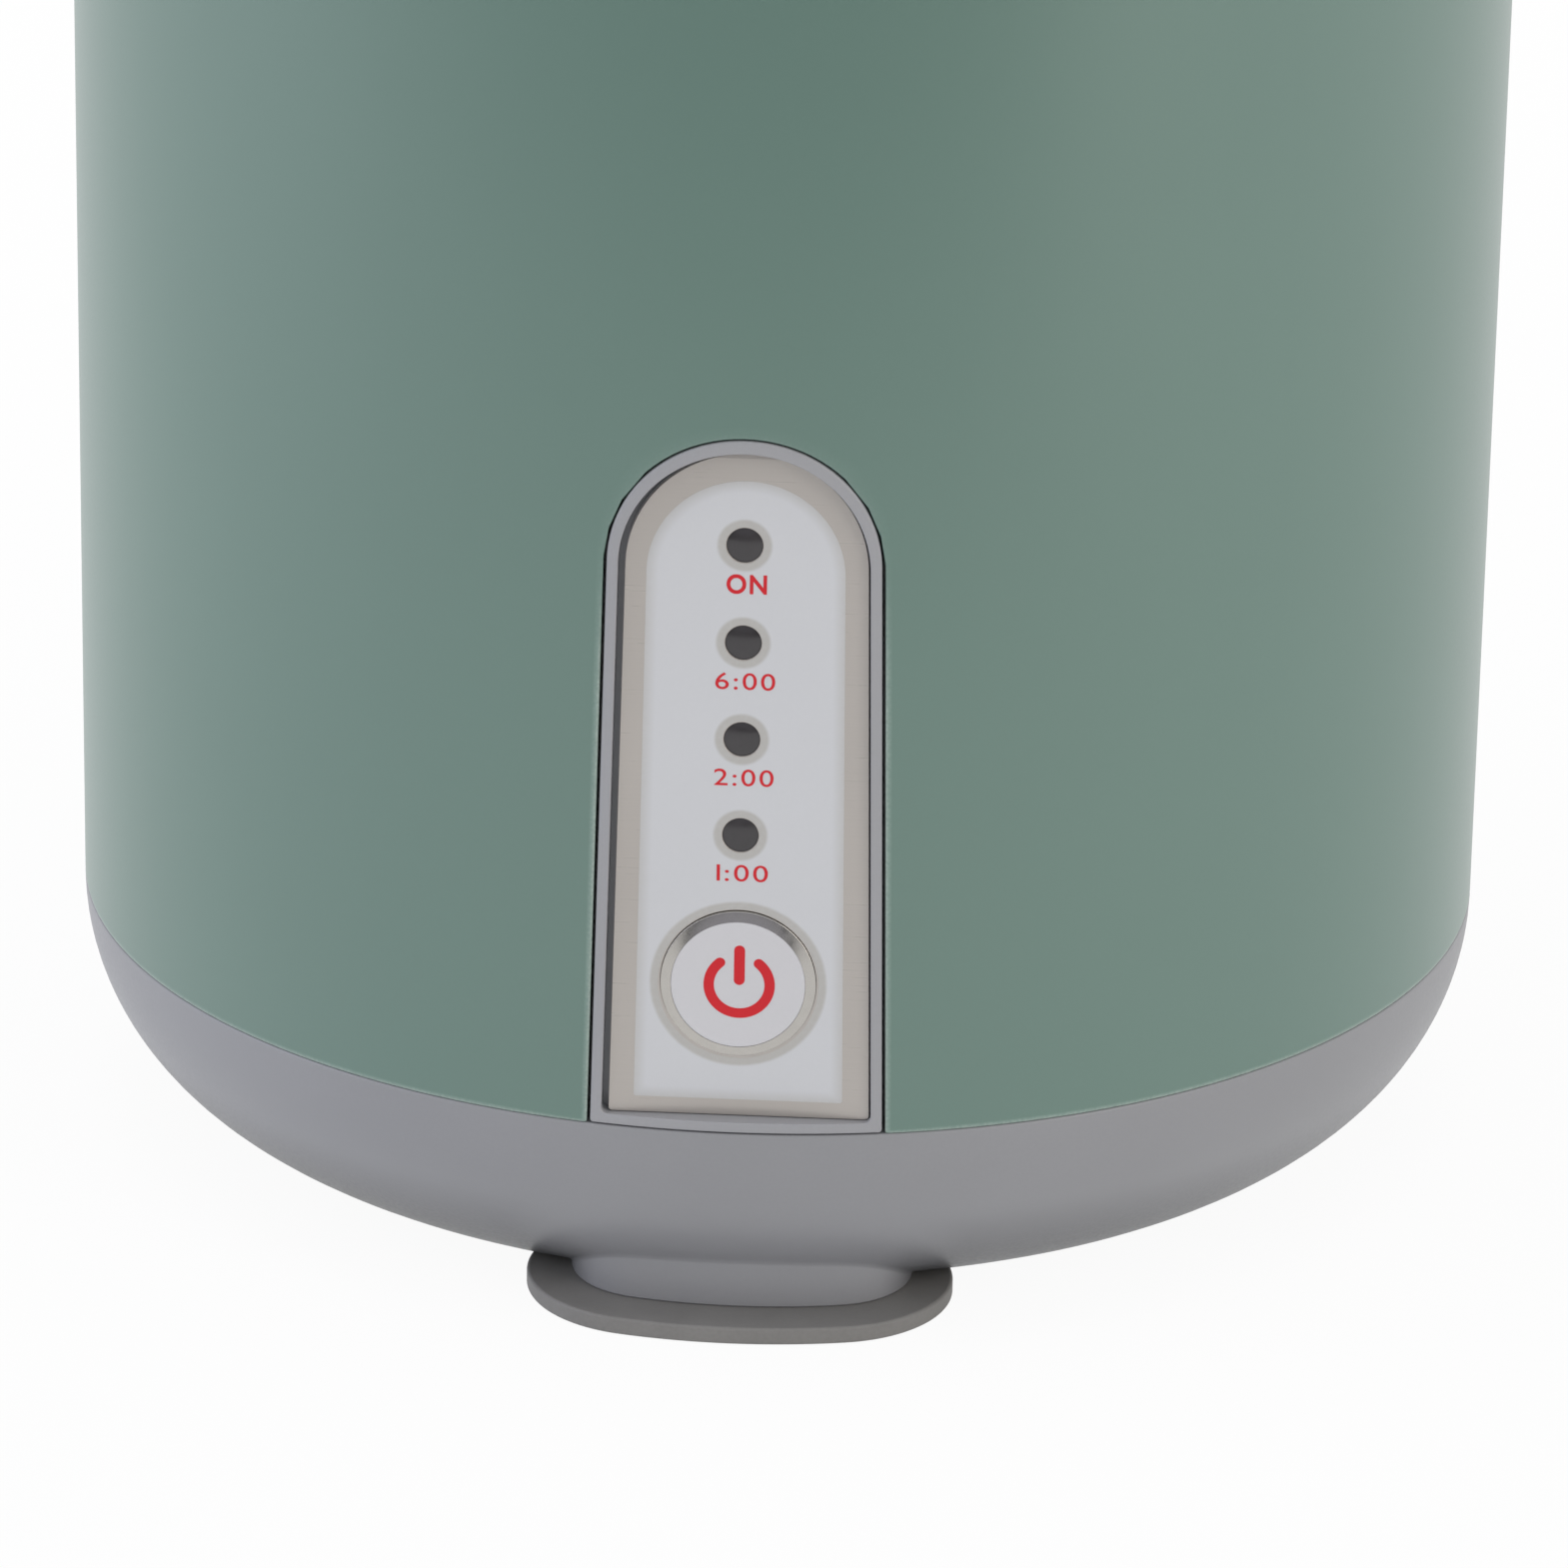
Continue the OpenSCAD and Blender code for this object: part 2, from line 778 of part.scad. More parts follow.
module panel_bezel() {
    color(frame_grey)
        difference() {
            union() {
                bezel_blank();
                screw_centres()
                    bar(standoff_r, -bezel_r, board_y, 0, 0);
            }
            slab(-body_r - cut, plate_back)
                arch(bezel_face, panel_bottom + bezel_face);
            window_centres()
                bar(lens_r + run_gap, -body_r, board_y, 0, 0);
            bar(ring_out + run_gap, -body_r, plate_y + ring_depth, 0, button_h);
            bar(ring_in + run_gap, -body_r, board_y, 0, button_h);
            screw_centres()
                bar(m2[shank] + snug_gap, board_back - board_screw_l - blind, board_y + cut, 0, 0);
        }
}

module panel_plate() {
    color(plate_steel)
        difference() {
            slab(plate_y, plate_back)
                translate([plate_shift, 0])
                    arch(bezel_face + plate_gap, panel_bottom + bezel_face + plate_gap / 2);
            window_centres()
                bar(lens_r + run_gap, plate_y - cut, plate_back + cut, 0, 0);
            bar(ring_out + run_gap, plate_y - cut, plate_back + cut, 0, button_h);
        }
}

module indicator_lenses() {
    color(smoke)
        window_centres() {
            bar(lens_r, plate_y + run_gap, behind_bezel, 0, 0);
            bar(lens_r + lens_flange_w, behind_bezel - lens_flange_t, behind_bezel, 0, 0);
        }
}

// Polished ring with a face that rises to the button
module button_ring() {
    color(bright)
        translate([0, plate_y, button_h])
            rotate([-90, 0, 0])
                rotate_extrude()
                    polygon([[ring_out, 0], [ring_out, ring_depth],
                             [ring_in, ring_depth], [ring_in, -ring_rise]]);
}

module button_cap() {
    color(cap_white) {
        bar(cap_r, plate_y - ring_rise, cap_back, 0, button_h);
        bar(ring_in + cap_flange, behind_bezel, cap_back, 0, button_h);
    }
}

// Control board behind the panel

module control_board() {
    color(board_green)
        difference() {
            translate([-board_w / 2, board_y, board_bottom])
                cube([board_w, board_t, board_h]);
            screw_centres()
                bar(m2[shank] + hole_gap, board_y - cut, board_back + cut, 0, 0);
        }
}

module indicator_leds() {
    color(nylon)
        window_centres() {
            bar(lens_r, led_tip + lens_r, board_y, 0, 0);
            translate([0, led_tip + lens_r, 0])
                sphere(r = lens_r);
            bar(lens_r + led_flange_w, board_y - led_flange_t, board_y, 0, 0);
        }
}

module tact_switch() {
    color(inner_black)
        difference() {
            translate([-switch_w / 2, board_y - switch_h, button_h - switch_w / 2])
                cube([switch_w, switch_h, switch_w]);
            bar(plunger_d / 2 + run_gap, board_y - switch_h - cut,
                board_y - switch_h + plunger_well, 0, button_h);
        }
}

module switch_plunger() {
    color(bronze)
        bar(plunger_d / 2, cap_back, cap_back + plunger_l, 0, button_h);
}

module controller_chip() {
    color(inner_black)
        translate([-chip_w / 2, board_back, seam_z + lens_z + lens_pitch])
            cube([chip_w, chip_t, chip_h]);
}

module board_connectors() {
    color(nylon)
        for (side = [-1, 1])
            translate([side * connector_x - connector_w / 2, board_back, connector_z - connector_h / 2])
                cube([connector_w, connector_l, connector_h]);
}

module board_screws() {
    color(steel)
        screw_centres()
            translate([0, board_back, 0])
                rotate([90, 0, 0])
                    screw(m2, board_screw_l);
}

// Deck and bearing plate

module board_notch(z, height) {
    translate([-notch_w / 2, -body_r, z - cut])
        cube([notch_w, body_r + notch_y, height + 2 * cut]);
}

module pillar_centres() {
    for (turn = [45 : 90 : 315])
        rotate([0, 0, turn])
            translate([pillar_pcr, 0, 0])
                children();
}

module gear_deck() {
    color(deck_white)
        difference() {
            union() {
                difference() {
                    translate([0, 0, deck_z])
                        cylinder(r = deck_r, h = deck_t);
                    board_notch(deck_z, deck_t);
                }
                translate([0, 0, hub_bottom])
                    cylinder(r = hub_r, h = hub_drop + cut);
                for (turn = feet)
                    rotate([0, 0, turn])
                        translate([0, -post_pcr, post_z])
                            cylinder(r = post_r, h = post_l + cut);
                pillar_centres()
                    translate([0, 0, deck_top - cut])
                        cylinder(r = pillar_r, h = pillar_l + cut);
            }
            translate([0, 0, hub_bottom - cut])
                cylinder(r = bush_r + snug_gap, h = hub_drop + deck_t + 2 * cut);
            translate([0, middle_y, deck_z - cut])
                cylinder(r = axle_r + snug_gap, h = deck_t + 2 * cut);
            translate([motor_x, motor_y, deck_z - cut]) {
                cylinder(r = motor_boss_r + hole_gap, h = deck_t + 2 * cut);
                for (side = [-1, 1])
                    translate([0, side * motor_screw_x, 0])
                        cylinder(r = m25[shank] + hole_gap, h = deck_t + 2 * cut);
            }
            for (turn = feet)
                rotate([0, 0, turn])
                    translate([0, -post_pcr, post_z - cut])
                        cylinder(r = m3[shank] + snug_gap, h = base_screw_l + cut);
            pillar_centres()
                translate([0, 0, plate_top - pillar_screw_l - blind])
                    cylinder(r = m25[shank] + snug_gap, h = pillar_screw_l + cut);
        }
}

module bearing_plate() {
    color(deck_white)
        difference() {
            translate([0, 0, plate_z])
                cylinder(r = bearing_plate_r, h = bearing_plate_t);
            board_notch(plate_z, bearing_plate_t);
            translate([0, 0, plate_z - cut])
                cylinder(r = bush_r + snug_gap, h = bearing_plate_t + 2 * cut);
            translate([0, middle_y, plate_z - cut])
                cylinder(r = axle_r + snug_gap, h = bearing_plate_t + 2 * cut);
            pillar_centres()
                translate([0, 0, plate_z - cut])
                    cylinder(r = m25[shank] + hole_gap, h = bearing_plate_t + 2 * cut);
        }
}

module bearing_plate_screws() {
    color(steel)
        pillar_centres()
            translate([0, 0, plate_top])
                rotate([180, 0, 0])
                    screw(m25, pillar_screw_l);
}

// Motor

module at_motor() {
    translate([motor_x, motor_y, 0])
        children();
}

module motor_can() {
    color(steel)
        at_motor()
            difference() {
                union() {
                    translate([0, 0, motor_z])
                        cylinder(r = motor_r, h = motor_l);
                    translate([0, 0, deck_z - cut])
                        cylinder(r = motor_boss_r, h = motor_boss_h + cut);
                }
                translate([0, 0, deck_z - motor_shaft_well])
                    cylinder(r = motor_shaft_r + run_gap, h = motor_shaft_well + deck_t + cut);
                for (side = [-1, 1])
                    translate([0, side * motor_screw_x, deck_top - motor_screw_l - blind])
                        cylinder(r = m25[shank] + snug_gap, h = motor_screw_l);
            }
}

module motor_end_cap() {
    color(nylon)
        at_motor()
            translate([0, 0, end_cap_z])
                cylinder(r = motor_r - end_cap_rim, h = end_cap_h);
}

module motor_terminals() {
    color(bronze)
        at_motor()
            for (side = [-1, 1])
                translate([side * terminal_x - terminal_w / 2, -terminal_t / 2, end_cap_z - terminal_l])
                    cube([terminal_w, terminal_t, terminal_l]);
}

module motor_screws() {
    color(steel)
        at_motor()
            for (side = [-1, 1])
                translate([0, side * motor_screw_x, deck_top])
                    rotate([180, 0, 0])
                        screw(m25, motor_screw_l);
}

module motor_shaft() {
    color(bright)
        at_motor()
            translate([0, 0, motor_shaft_z])
                cylinder(r = motor_shaft_r, h = pinion_1_top + motor_shaft_over - motor_shaft_z);
}

module motor_pinion() {
    color(bronze)
        at_motor()
            difference() {
                translate([0, 0, pinion_1_z])
                    spur(module_1, pinion_1, mesh_turn(motor_way, wheel_1, pinion_1), pinion_1_h);
                translate([0, 0, pinion_1_z - cut])
                    cylinder(r = motor_shaft_r + snug_gap, h = pinion_1_h + 2 * cut);
            }
}

// Middle gear

module at_middle() {
    translate([0, middle_y, 0])
        children();
}

module middle_axle() {
    color(bright)
        at_middle()
            translate([0, 0, deck_z])
                cylinder(r = axle_r, h = plate_top - deck_z);
}

module axle_washer() {
    color(steel)
        at_middle()
            ring(axle_r + snug_gap, axle_r + washer_w, deck_top, deck_top + washer_t);
}

module middle_gear() {
    color(nylon)
        at_middle()
            difference() {
                union() {
                    translate([0, 0, middle_z])
                        spur(module_1, wheel_1, 0, wheel_1_w);
                    translate([0, 0, wheel_1_top])
                        spur(module_2, pinion_2, mesh_turn(90, wheel_2, pinion_2),
                             pinion_2_top - wheel_1_top);
                    translate([0, 0, pinion_2_top])
                        cylinder(r = axle_r + middle_hub_wall, h = middle_top - pinion_2_top);
                }
                translate([0, 0, middle_z - cut])
                    cylinder(r = axle_r + run_gap, h = middle_top - middle_z + 2 * cut);
            }
}

// Spindle and its bearings

module cup_screw_centres() {
    for (turn = feet)
        rotate([0, 0, turn])
            translate([0, -cup_screw_pcr, 0])
                children();
}

module spindle() {
    color(bright)
        difference() {
            union() {
                translate([0, 0, spindle_bottom])
                    cylinder(r = spindle_r, h = disc_z - spindle_bottom + cut);
                translate([0, 0, disc_z])
                    cylinder(r = disc_r, h = disc_t);
            }
            ring(spindle_r - clip_depth, spindle_r + cut, clip_z, clip_z + clip_t);
            cup_screw_centres()
                translate([0, 0, disc_z - cut])
                    cylinder(r = m3[shank] + snug_gap, h = disc_t + 2 * cut);
        }
}

module spindle_gear() {
    color(nylon)
        difference() {
            union() {
                translate([0, 0, spindle_gear_z])
                    spur(module_2, wheel_2, 0, wheel_2_w);
                translate([0, 0, spindle_gear_top])
                    cylinder(r = gear_hub_r, h = gear_hub_h);
            }
            translate([0, 0, spindle_gear_z - cut])
                cylinder(r = spindle_r + snug_gap, h = wheel_2_w + gear_hub_h + 2 * cut);
            bar(m2[shank] + snug_gap, -gear_hub_r - cut, 0, 0, set_screw_z);
        }
}

module gear_set_screw() {
    color(steel)
        bar(m2[shank], -spindle_r - snug_gap * 2 - set_screw_l, -spindle_r - snug_gap * 2, 0, set_screw_z);
}

// Spring clip with an open side, in a groove of the spindle
module spindle_clip() {
    color(steel)
        difference() {
            ring(spindle_r - clip_depth + snug_gap, bush_r, clip_z, clip_z + clip_t - snug_gap);
            translate([0, -spindle_r + clip_depth, clip_z - cut])
                cube([bush_r + cut, 2 * (spindle_r - clip_depth), clip_t + 2 * cut]);
        }
}

module flanged_bush(z0, z1) {
    difference() {
        union() {
            translate([0, 0, z0])
                cylinder(r = bush_r, h = z1 - z0);
            translate([0, 0, z1])
                cylinder(r = bush_flange_r, h = bush_flange_t);
        }
        translate([0, 0, z0 - cut])
            cylinder(r = spindle_r + run_gap, h = z1 - z0 + bush_flange_t + 2 * cut);
    }
}

module lower_bush() {
    color(bronze)
        flanged_bush(hub_bottom, deck_top);
}

module upper_bush() {
    color(bronze)
        flanged_bush(plate_z, plate_top);
}

module thrust_washer() {
    color(nylon)
        ring(spindle_r + run_gap, bush_flange_r, thrust_z, thrust_z + washer_t);
}

// Bottle cup

module bottle_cup() {
    color(frame_grey)
        difference() {
            translate([0, 0, cup_z])
                cylinder(r = cup_r, h = cup_top - cup_z);
            translate([0, 0, cup_floor])
                cylinder(r = cup_in, h = cup_top);
            cup_screw_centres() {
                translate([0, 0, cup_z - cut])
                    cylinder(r = m3[shank] + hole_gap, h = cup_wall + 2 * cut);
                translate([0, 0, cup_floor - m3[head_h]])
                    cylinder(r = m3[head] + hole_gap, h = m3[head_h] + cut);
            }
        }
}

module cup_screws() {
    color(steel)
        cup_screw_centres()
            translate([0, 0, cup_floor - m3[head_h]])
                rotate([180, 0, 0])
                    screw(m3, cup_screw_l);
}

// Soft liner with a rim that hooks over the cup
module grip_liner() {
    color(liner_blue)
        difference() {
            union() {
                translate([0, 0, cup_floor])
                    cylinder(r = liner_out, h = liner_top - cup_floor);
                translate([0, 0, cup_top])
                    cylinder(r = cup_r, h = liner_rim);
            }
            translate([0, 0, cup_floor + liner_floor])
                cylinder(r = liner_in, h = liner_top);
        }
}

// Power inlet and leads

module inlet_socket() {
    color(inner_black)
        difference() {
            union() {
                translate([-inlet_w / 2, inlet_back, inlet_h - inlet_w / 2])
                    cube([inlet_w, inlet_l, inlet_w]);
                bar(inlet_r, inlet_front - cut, inlet_nose, 0, inlet_h);
            }
            bar(inlet_bore_d / 2, inlet_nose - inlet_bore_l, inlet_nose + cut, 0, inlet_h);
        }
}

module inlet_pin() {
    color(bright)
        bar(inlet_pin_d / 2, inlet_nose - inlet_bore_l, inlet_nose - inlet_pin_sink, 0, inlet_h);
}

module inlet_terminals() {
    color(bronze)
        for (side = [-1, 1])
            translate([side * inlet_terminal_x - inlet_terminal_w / 2, inlet_back - inlet_terminal_l,
                       inlet_h - inlet_terminal_t / 2])
                cube([inlet_terminal_w, inlet_terminal_l, inlet_terminal_t]);
}

module inlet_leads() {
    color(inner_black)
        for (side = [-1, 1]) {
            start = [side * lead_pitch / 2 - connector_x, board_back + connector_l, connector_z];
            low = [-connector_x, 0, floor_z + inlet_sag_h];
            finish = [side * inlet_terminal_x, inlet_back - inlet_terminal_l, inlet_h];
            lead([start, start + [0, lead_out, 0], low, finish - [0, lead_out, 0], finish]);
        }
}

module motor_leads() {
    color(lead_red)
        for (side = [-1, 1]) {
            start = [side * lead_pitch / 2 + connector_x, board_back + connector_l, connector_z];
            low = [connector_x + motor_sag_x, motor_sag_y, floor_z + motor_sag_h];
            finish = [motor_x + side * terminal_x, motor_y - terminal_t / 2, end_cap_z - lead_joint];
            lead([start, start + [0, lead_out, 0], low, finish - [0, 2 * lead_out, 0], finish]);
        }
}

base_housing();
foot_front();
foot_right();
foot_left();
base_screws();
outer_shell();
top_collar();
panel_bezel();
panel_plate();
indicator_lenses();
button_ring();
button_cap();
control_board();
indicator_leds();
tact_switch();
switch_plunger();
controller_chip();
board_connectors();
board_screws();
gear_deck();
bearing_plate();
bearing_plate_screws();
motor_can();
motor_end_cap();
motor_terminals();
motor_screws();
motor_shaft();
motor_pinion();
middle_axle();
axle_washer();
middle_gear();
spindle();
spindle_gear();
gear_set_screw();
spindle_clip();
lower_bush();
upper_bush();
thrust_washer();
bottle_cup();
cup_screws();
grip_liner();
inlet_socket();
inlet_pin();
inlet_terminals();
inlet_leads();
motor_leads();
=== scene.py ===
# %% [markdown]
# # An electric bottle shaker
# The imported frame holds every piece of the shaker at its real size. This lesson dresses the
# pieces that show: a lacquered green tube, a moulded grey base and collar, a printed steel
# panel with a button, and a soft lined cup. Each shape is a numpy grid in millimetres.

# %% Load the frame
import json
import math

import bmesh
import bpy
import numpy as np
from mathutils import Matrix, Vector
from mathutils.geometry import tessellate_polygon

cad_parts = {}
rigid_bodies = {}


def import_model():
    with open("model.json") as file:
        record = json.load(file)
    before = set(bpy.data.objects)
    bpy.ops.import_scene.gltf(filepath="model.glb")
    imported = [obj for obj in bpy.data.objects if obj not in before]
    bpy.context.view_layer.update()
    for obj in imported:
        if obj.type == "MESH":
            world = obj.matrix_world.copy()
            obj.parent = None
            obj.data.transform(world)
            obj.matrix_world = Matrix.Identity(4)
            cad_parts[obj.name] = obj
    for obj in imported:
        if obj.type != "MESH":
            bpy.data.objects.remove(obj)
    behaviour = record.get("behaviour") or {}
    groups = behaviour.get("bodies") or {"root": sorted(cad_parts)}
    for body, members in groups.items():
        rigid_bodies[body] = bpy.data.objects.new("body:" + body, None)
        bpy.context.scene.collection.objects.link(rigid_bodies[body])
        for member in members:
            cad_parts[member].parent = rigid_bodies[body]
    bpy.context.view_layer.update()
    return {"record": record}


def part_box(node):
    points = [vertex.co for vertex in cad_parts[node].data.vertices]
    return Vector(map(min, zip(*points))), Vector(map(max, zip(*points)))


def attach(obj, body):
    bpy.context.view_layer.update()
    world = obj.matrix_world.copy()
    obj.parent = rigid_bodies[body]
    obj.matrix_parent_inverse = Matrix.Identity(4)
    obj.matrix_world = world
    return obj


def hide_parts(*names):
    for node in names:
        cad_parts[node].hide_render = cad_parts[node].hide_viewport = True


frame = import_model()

MM = 0.001

# %% [markdown]
# ## Sizes from the frame
# A dressed piece has to sit exactly where its solid is, so the sizes come from the boxes of the
# solids. Only what a box can't tell, such as the width of the panel's frame, is written here.

# %% Sizes from the frame


def corners(node):
    """Lowest and highest corner of a solid, in millimetres, rounded to a hundredth."""
    low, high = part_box(node)
    return np.round(np.array(low) / MM, 2), np.round(np.array(high) / MM, 2)


shell_low, shell_high = corners("outer_shell")
body_r = shell_high[0]
seam_z = shell_low[2]
shell_top = shell_high[2]
body_h = corners("top_collar")[1][2]
base_z = corners("base_housing")[0][2]
plate_low, plate_high = corners("panel_plate")
plate_y = plate_low[1]
plate_back = plate_high[1]
button_low, button_high = corners("button_cap")
button_z = (button_low[2] + button_high[2]) / 2
print(f"body {2 * body_r:.1f} mm across, {body_h:.1f} mm high, seam at {seam_z:.1f} mm")

# %% [markdown]
# ## The camera
# A long lens from a little above the panel keeps the sides of the tube almost parallel. The
# camera's three axes come from two angles and a small roll, and its target is a point near the
# seam, so that the picture holds the panel, the base and the front foot.

# %% The camera
PICTURE = 1569
FOCAL = 9012
SENSOR = 36
AZIMUTH = 2.95
ELEVATION = 21.44
ROLL = 1.0
DISTANCE = 780
TARGET_RIGHT = 0.4
TARGET_RISE = 6.92
CLIP_START = 0.01


def put(name, data):
    """A new object in the scene, at the origin."""
    made = bpy.data.objects.new(name, data)
    bpy.context.scene.collection.objects.link(made)
    return made


def camera_axes(azimuth, elevation, roll):
    """Right, up and back axes: back points from the target to the camera, and roll turns the
    other two about it."""
    a, e, t = np.radians([azimuth, elevation, roll])
    back = np.array([np.sin(a) * np.cos(e), -np.cos(a) * np.cos(e), np.sin(e)])
    right = np.array([np.cos(a), np.sin(a), 0])
    up = np.cross(back, right)
    return np.cos(t) * right + np.sin(t) * up, np.cos(t) * up - np.sin(t) * right, back


right, up, back = camera_axes(AZIMUTH, ELEVATION, ROLL)
target = right * TARGET_RIGHT + np.array([0, 0, seam_z + TARGET_RISE])
place = np.eye(4)
place[:3, :3] = np.column_stack([right, up, back])
place[:3, 3] = (target + back * DISTANCE) * MM
camera = put("camera", bpy.data.cameras.new("camera"))
camera.data.sensor_width = SENSOR
camera.data.lens = SENSOR * FOCAL / PICTURE
camera.data.clip_start = CLIP_START
camera.matrix_world = Matrix(place)
bpy.context.scene.camera = camera
print(f"camera: {camera.data.lens:.1f} mm lens, {DISTANCE} mm from its target")

# %% [markdown]
# ## Finishes
# A finish starts from what the real material is and how its surface was made. Colours are
# written as sRGB hex, as a colour picker shows them, and turned to linear light by one
# function. One function adds a node, sets it and links it. Patterns read Object coordinates,
# which are metres here, so a grain of so many millimetres is a noise of one over that size.

# %% Colour and node helpers


def linear(hex_colour):
    """sRGB hex to linear RGBA: a channel is divided by 12.92 near black, and elsewhere raised
    to 2.4 after its offset."""
    c = np.array([int(hex_colour[i : i + 2], 16) for i in (1, 3, 5)]) / 255
    rgb = np.where(c <= 0.04045, c / 12.92, ((c + 0.055) / 1.055) ** 2.4)
    return (*rgb, 1.0)


def shade(colour, factor):
    """A linear colour made lighter or darker by a factor."""
    return (*(np.array(colour[:3]) * factor), 1.0)


def add(tree, kind, inputs=(), **settings):
    """Add a shader node, set its properties, and give each input a value or a link."""
    node = tree.nodes.new("ShaderNode" + kind)
    for key, value in settings.items():
        setattr(node, key, value)
    for socket, value in dict(inputs).items():
        if isinstance(value, bpy.types.NodeSocket):
            tree.links.new(value, node.inputs[socket])
        else:
            node.inputs[socket].default_value = value
    return node


MIX_A, MIX_B, MIX_RESULT = 6, 7, 2
NOISE_RANGE = {1: 0.3, 2: 0.7}
SUM_RANGE = {1: 0.7, 2: 1.3}


def node_material(name):
    """A new material and its node tree."""
    material = bpy.data.materials.new(name)
    material.use_nodes = True
    return material, material.node_tree


def finish(name, colour, roughness, grain, bump, mottle=0.04, patch=14.0, stretch=(1, 1, 1),
           spread=0.05, wear_and_shade_colour=None, ragged=0.0, **sockets):
    """A finish with fine grain and soft patches. Grain, patch and bump, which is the grain's depth,
    are in millimetres. Mottle and spread are how far colour and roughness vary, and stretch
    lengthens the grain along each axis. The second colour shows where the piece's attribute for it
    is one. Wear brings it on most pieces, and on the base's underside it is painted shade. Ragged
    is how much the grain breaks its edge up."""
    material, tree = node_material(name)
    shader = tree.nodes["Principled BSDF"]
    where = add(tree, "TexCoord").outputs["Object"]
    scale = [1 / (grain * MM * s) for s in stretch]
    fine_at = add(tree, "Mapping", {"Vector": where, "Scale": scale}).outputs[0]
    fine, broad = [
        add(tree, "TexNoise", {"Vector": at, "Scale": size, "Detail": detail}).outputs["Fac"]
        for at, size, detail in ((fine_at, 1.0, 3.0), (where, 1 / (patch * MM), 2.0))
    ]
    both = add(tree, "Math", {0: fine, 1: broad}, operation="ADD").outputs[0]
    share = add(tree, "MapRange", {0: both, **SUM_RANGE}).outputs[0]
    base = linear(colour)
    tones = {MIX_A: shade(base, 1 - mottle), MIX_B: shade(base, 1 + mottle)}
    tint = add(tree, "Mix", {0: share, **tones}, data_type="RGBA").outputs[MIX_RESULT]
    # The second colour comes in by the piece's attribute: wear on most pieces, painted shade on the
    # base's underside.
    if wear_and_shade_colour:
        wear_and_shade = add(tree, "Attribute", attribute_name="wear_and_shade").outputs["Fac"]
        broken = add(tree, "MapRange", {0: fine, **NOISE_RANGE, 3: 1 - ragged, 4: 1 + ragged})
        amount = add(tree, "Math", {0: wear_and_shade, 1: broken.outputs[0]}, operation="MULTIPLY",
                     use_clamp=True).outputs[0]
        tint = add(tree, "Mix", {0: amount, MIX_A: tint, MIX_B: linear(wear_and_shade_colour)},
                   data_type="RGBA").outputs[MIX_RESULT]
    limits = {3: roughness - spread, 4: roughness + spread}
    rough = add(tree, "MapRange", {0: fine, **NOISE_RANGE, **limits}).outputs[0]
    relief = add(tree, "Bump", {"Height": fine, "Distance": bump * MM}).outputs[0]
    for socket, value in {"Base Color": tint, "Roughness": rough, "Normal": relief}.items():
        tree.links.new(value, shader.inputs[socket])
    for socket, value in sockets.items():
        shader.inputs[socket.replace("_", " ")].default_value = value
    return material


# %% [markdown]
# ### Plastics, rubber and inks
# The casing is ABS moulded in a tool with a fine satin texture, so it has no clear reflection,
# only a soft sheen that grows towards the edges. The green tube is lacquered and a little
# smoother. The grain of such a texture is a few hundredths of a millimetre, too fine to show,
# so it is drawn some ten times as coarse.

# %% Plastics, rubber and inks
green_lacquer = finish("green_lacquered_abs", "#617f75", 0.31, grain=0.25, bump=0.0003,
                       mottle=0.012, patch=18, spread=0.015, wear_and_shade_colour="#a3b5ad", ragged=0.4,
                       Specular_IOR_Level=0.85)
# The grey's second colour, #545558, is painted shade, laid only on the base's underside.
grey_abs = finish("grey_satin_abs", "#949599", 0.42, grain=0.3, bump=0.0015, mottle=0.02,
                  wear_and_shade_colour="#545558")
frame_abs = finish("pale_grey_satin_abs", "#a0a1a5", 0.4, grain=0.3, bump=0.0012, mottle=0.02)
white_abs = finish("white_abs", "#d0d0d4", 0.38, grain=0.3, bump=0.0008, mottle=0.01)
pad_rubber = finish("moulded_rubber", "#848381", 0.62, grain=0.35, bump=0.006, mottle=0.07, patch=5)
white_ink = finish("white_screen_ink", "#cfd1d5", 0.4, grain=0.4, bump=0.0004, mottle=0.008,
                   wear_and_shade_colour="#b8b7b4", ragged=0.1)
red_ink = finish("red_screen_ink", "#d22f37", 0.45, grain=0.2, bump=0.0004, mottle=0.03,
                 Specular_IOR_Level=0.15)
silicone = finish("pale_silicone", "#aeb9b8", 0.5, grain=0.5, bump=0.004, mottle=0.03,
                  Subsurface_Weight=0.1)
smoked_acrylic = finish("smoked_acrylic", "#3c3a3c", 0.18, grain=1.0, bump=0.0005, mottle=0.1)

# %% [markdown]
# ### Metals
# The panel is stainless sheet brushed along its width: fine scratches that stretch the grain
# along X. A matt coat on it scatters most of the light, so its tone is even right to its edges.
# The ring round the button is polished.

# %% Metals
brushed_steel = finish("brushed_stainless_steel", "#b6b1ac", 0.34, grain=0.09, bump=0.0004,
                       mottle=0.03, stretch=(70, 1, 1), spread=0.07, Metallic=0.35,
                       Anisotropic=0.4)
polished_ring = finish("polished_stainless_steel", "#b8b5b0", 0.2, grain=0.8, bump=0.0002,
                       mottle=0.04, spread=0.03, Metallic=1.0)
print("finishes so far:", len(bpy.data.materials))

# %% [markdown]
# ## Grids, loops and closed walls
# A surface here is a grid of points: rows along a profile and columns along a path. A closed
# wall is two skins with the same faces and a strip along their free edges. Points of patches
# that meet are welded, so that no seam is left open.

# %% Grid helpers
WELD = 0.0005


def arc(x, y, r, start, end, count):
    """Points on a circle about (x, y), evenly spaced between two angles in degrees."""
    a = np.radians(np.linspace(start, end, count))
    return np.column_stack([x + r * np.cos(a), y + r * np.sin(a)])


def quads(index, wrap_rows=False, wrap_cols=False):
    """Four-sided faces between neighbours in a grid of indices, also from last to first."""
    if wrap_rows:
        index = np.vstack([index, index[:1]])
    if wrap_cols:
        index = np.hstack([index, index[:, :1]])
    corner = [index[:-1, :-1], index[:-1, 1:], index[1:, 1:], index[1:, :-1]]
    return np.stack(corner, -1).reshape(-1, 4)


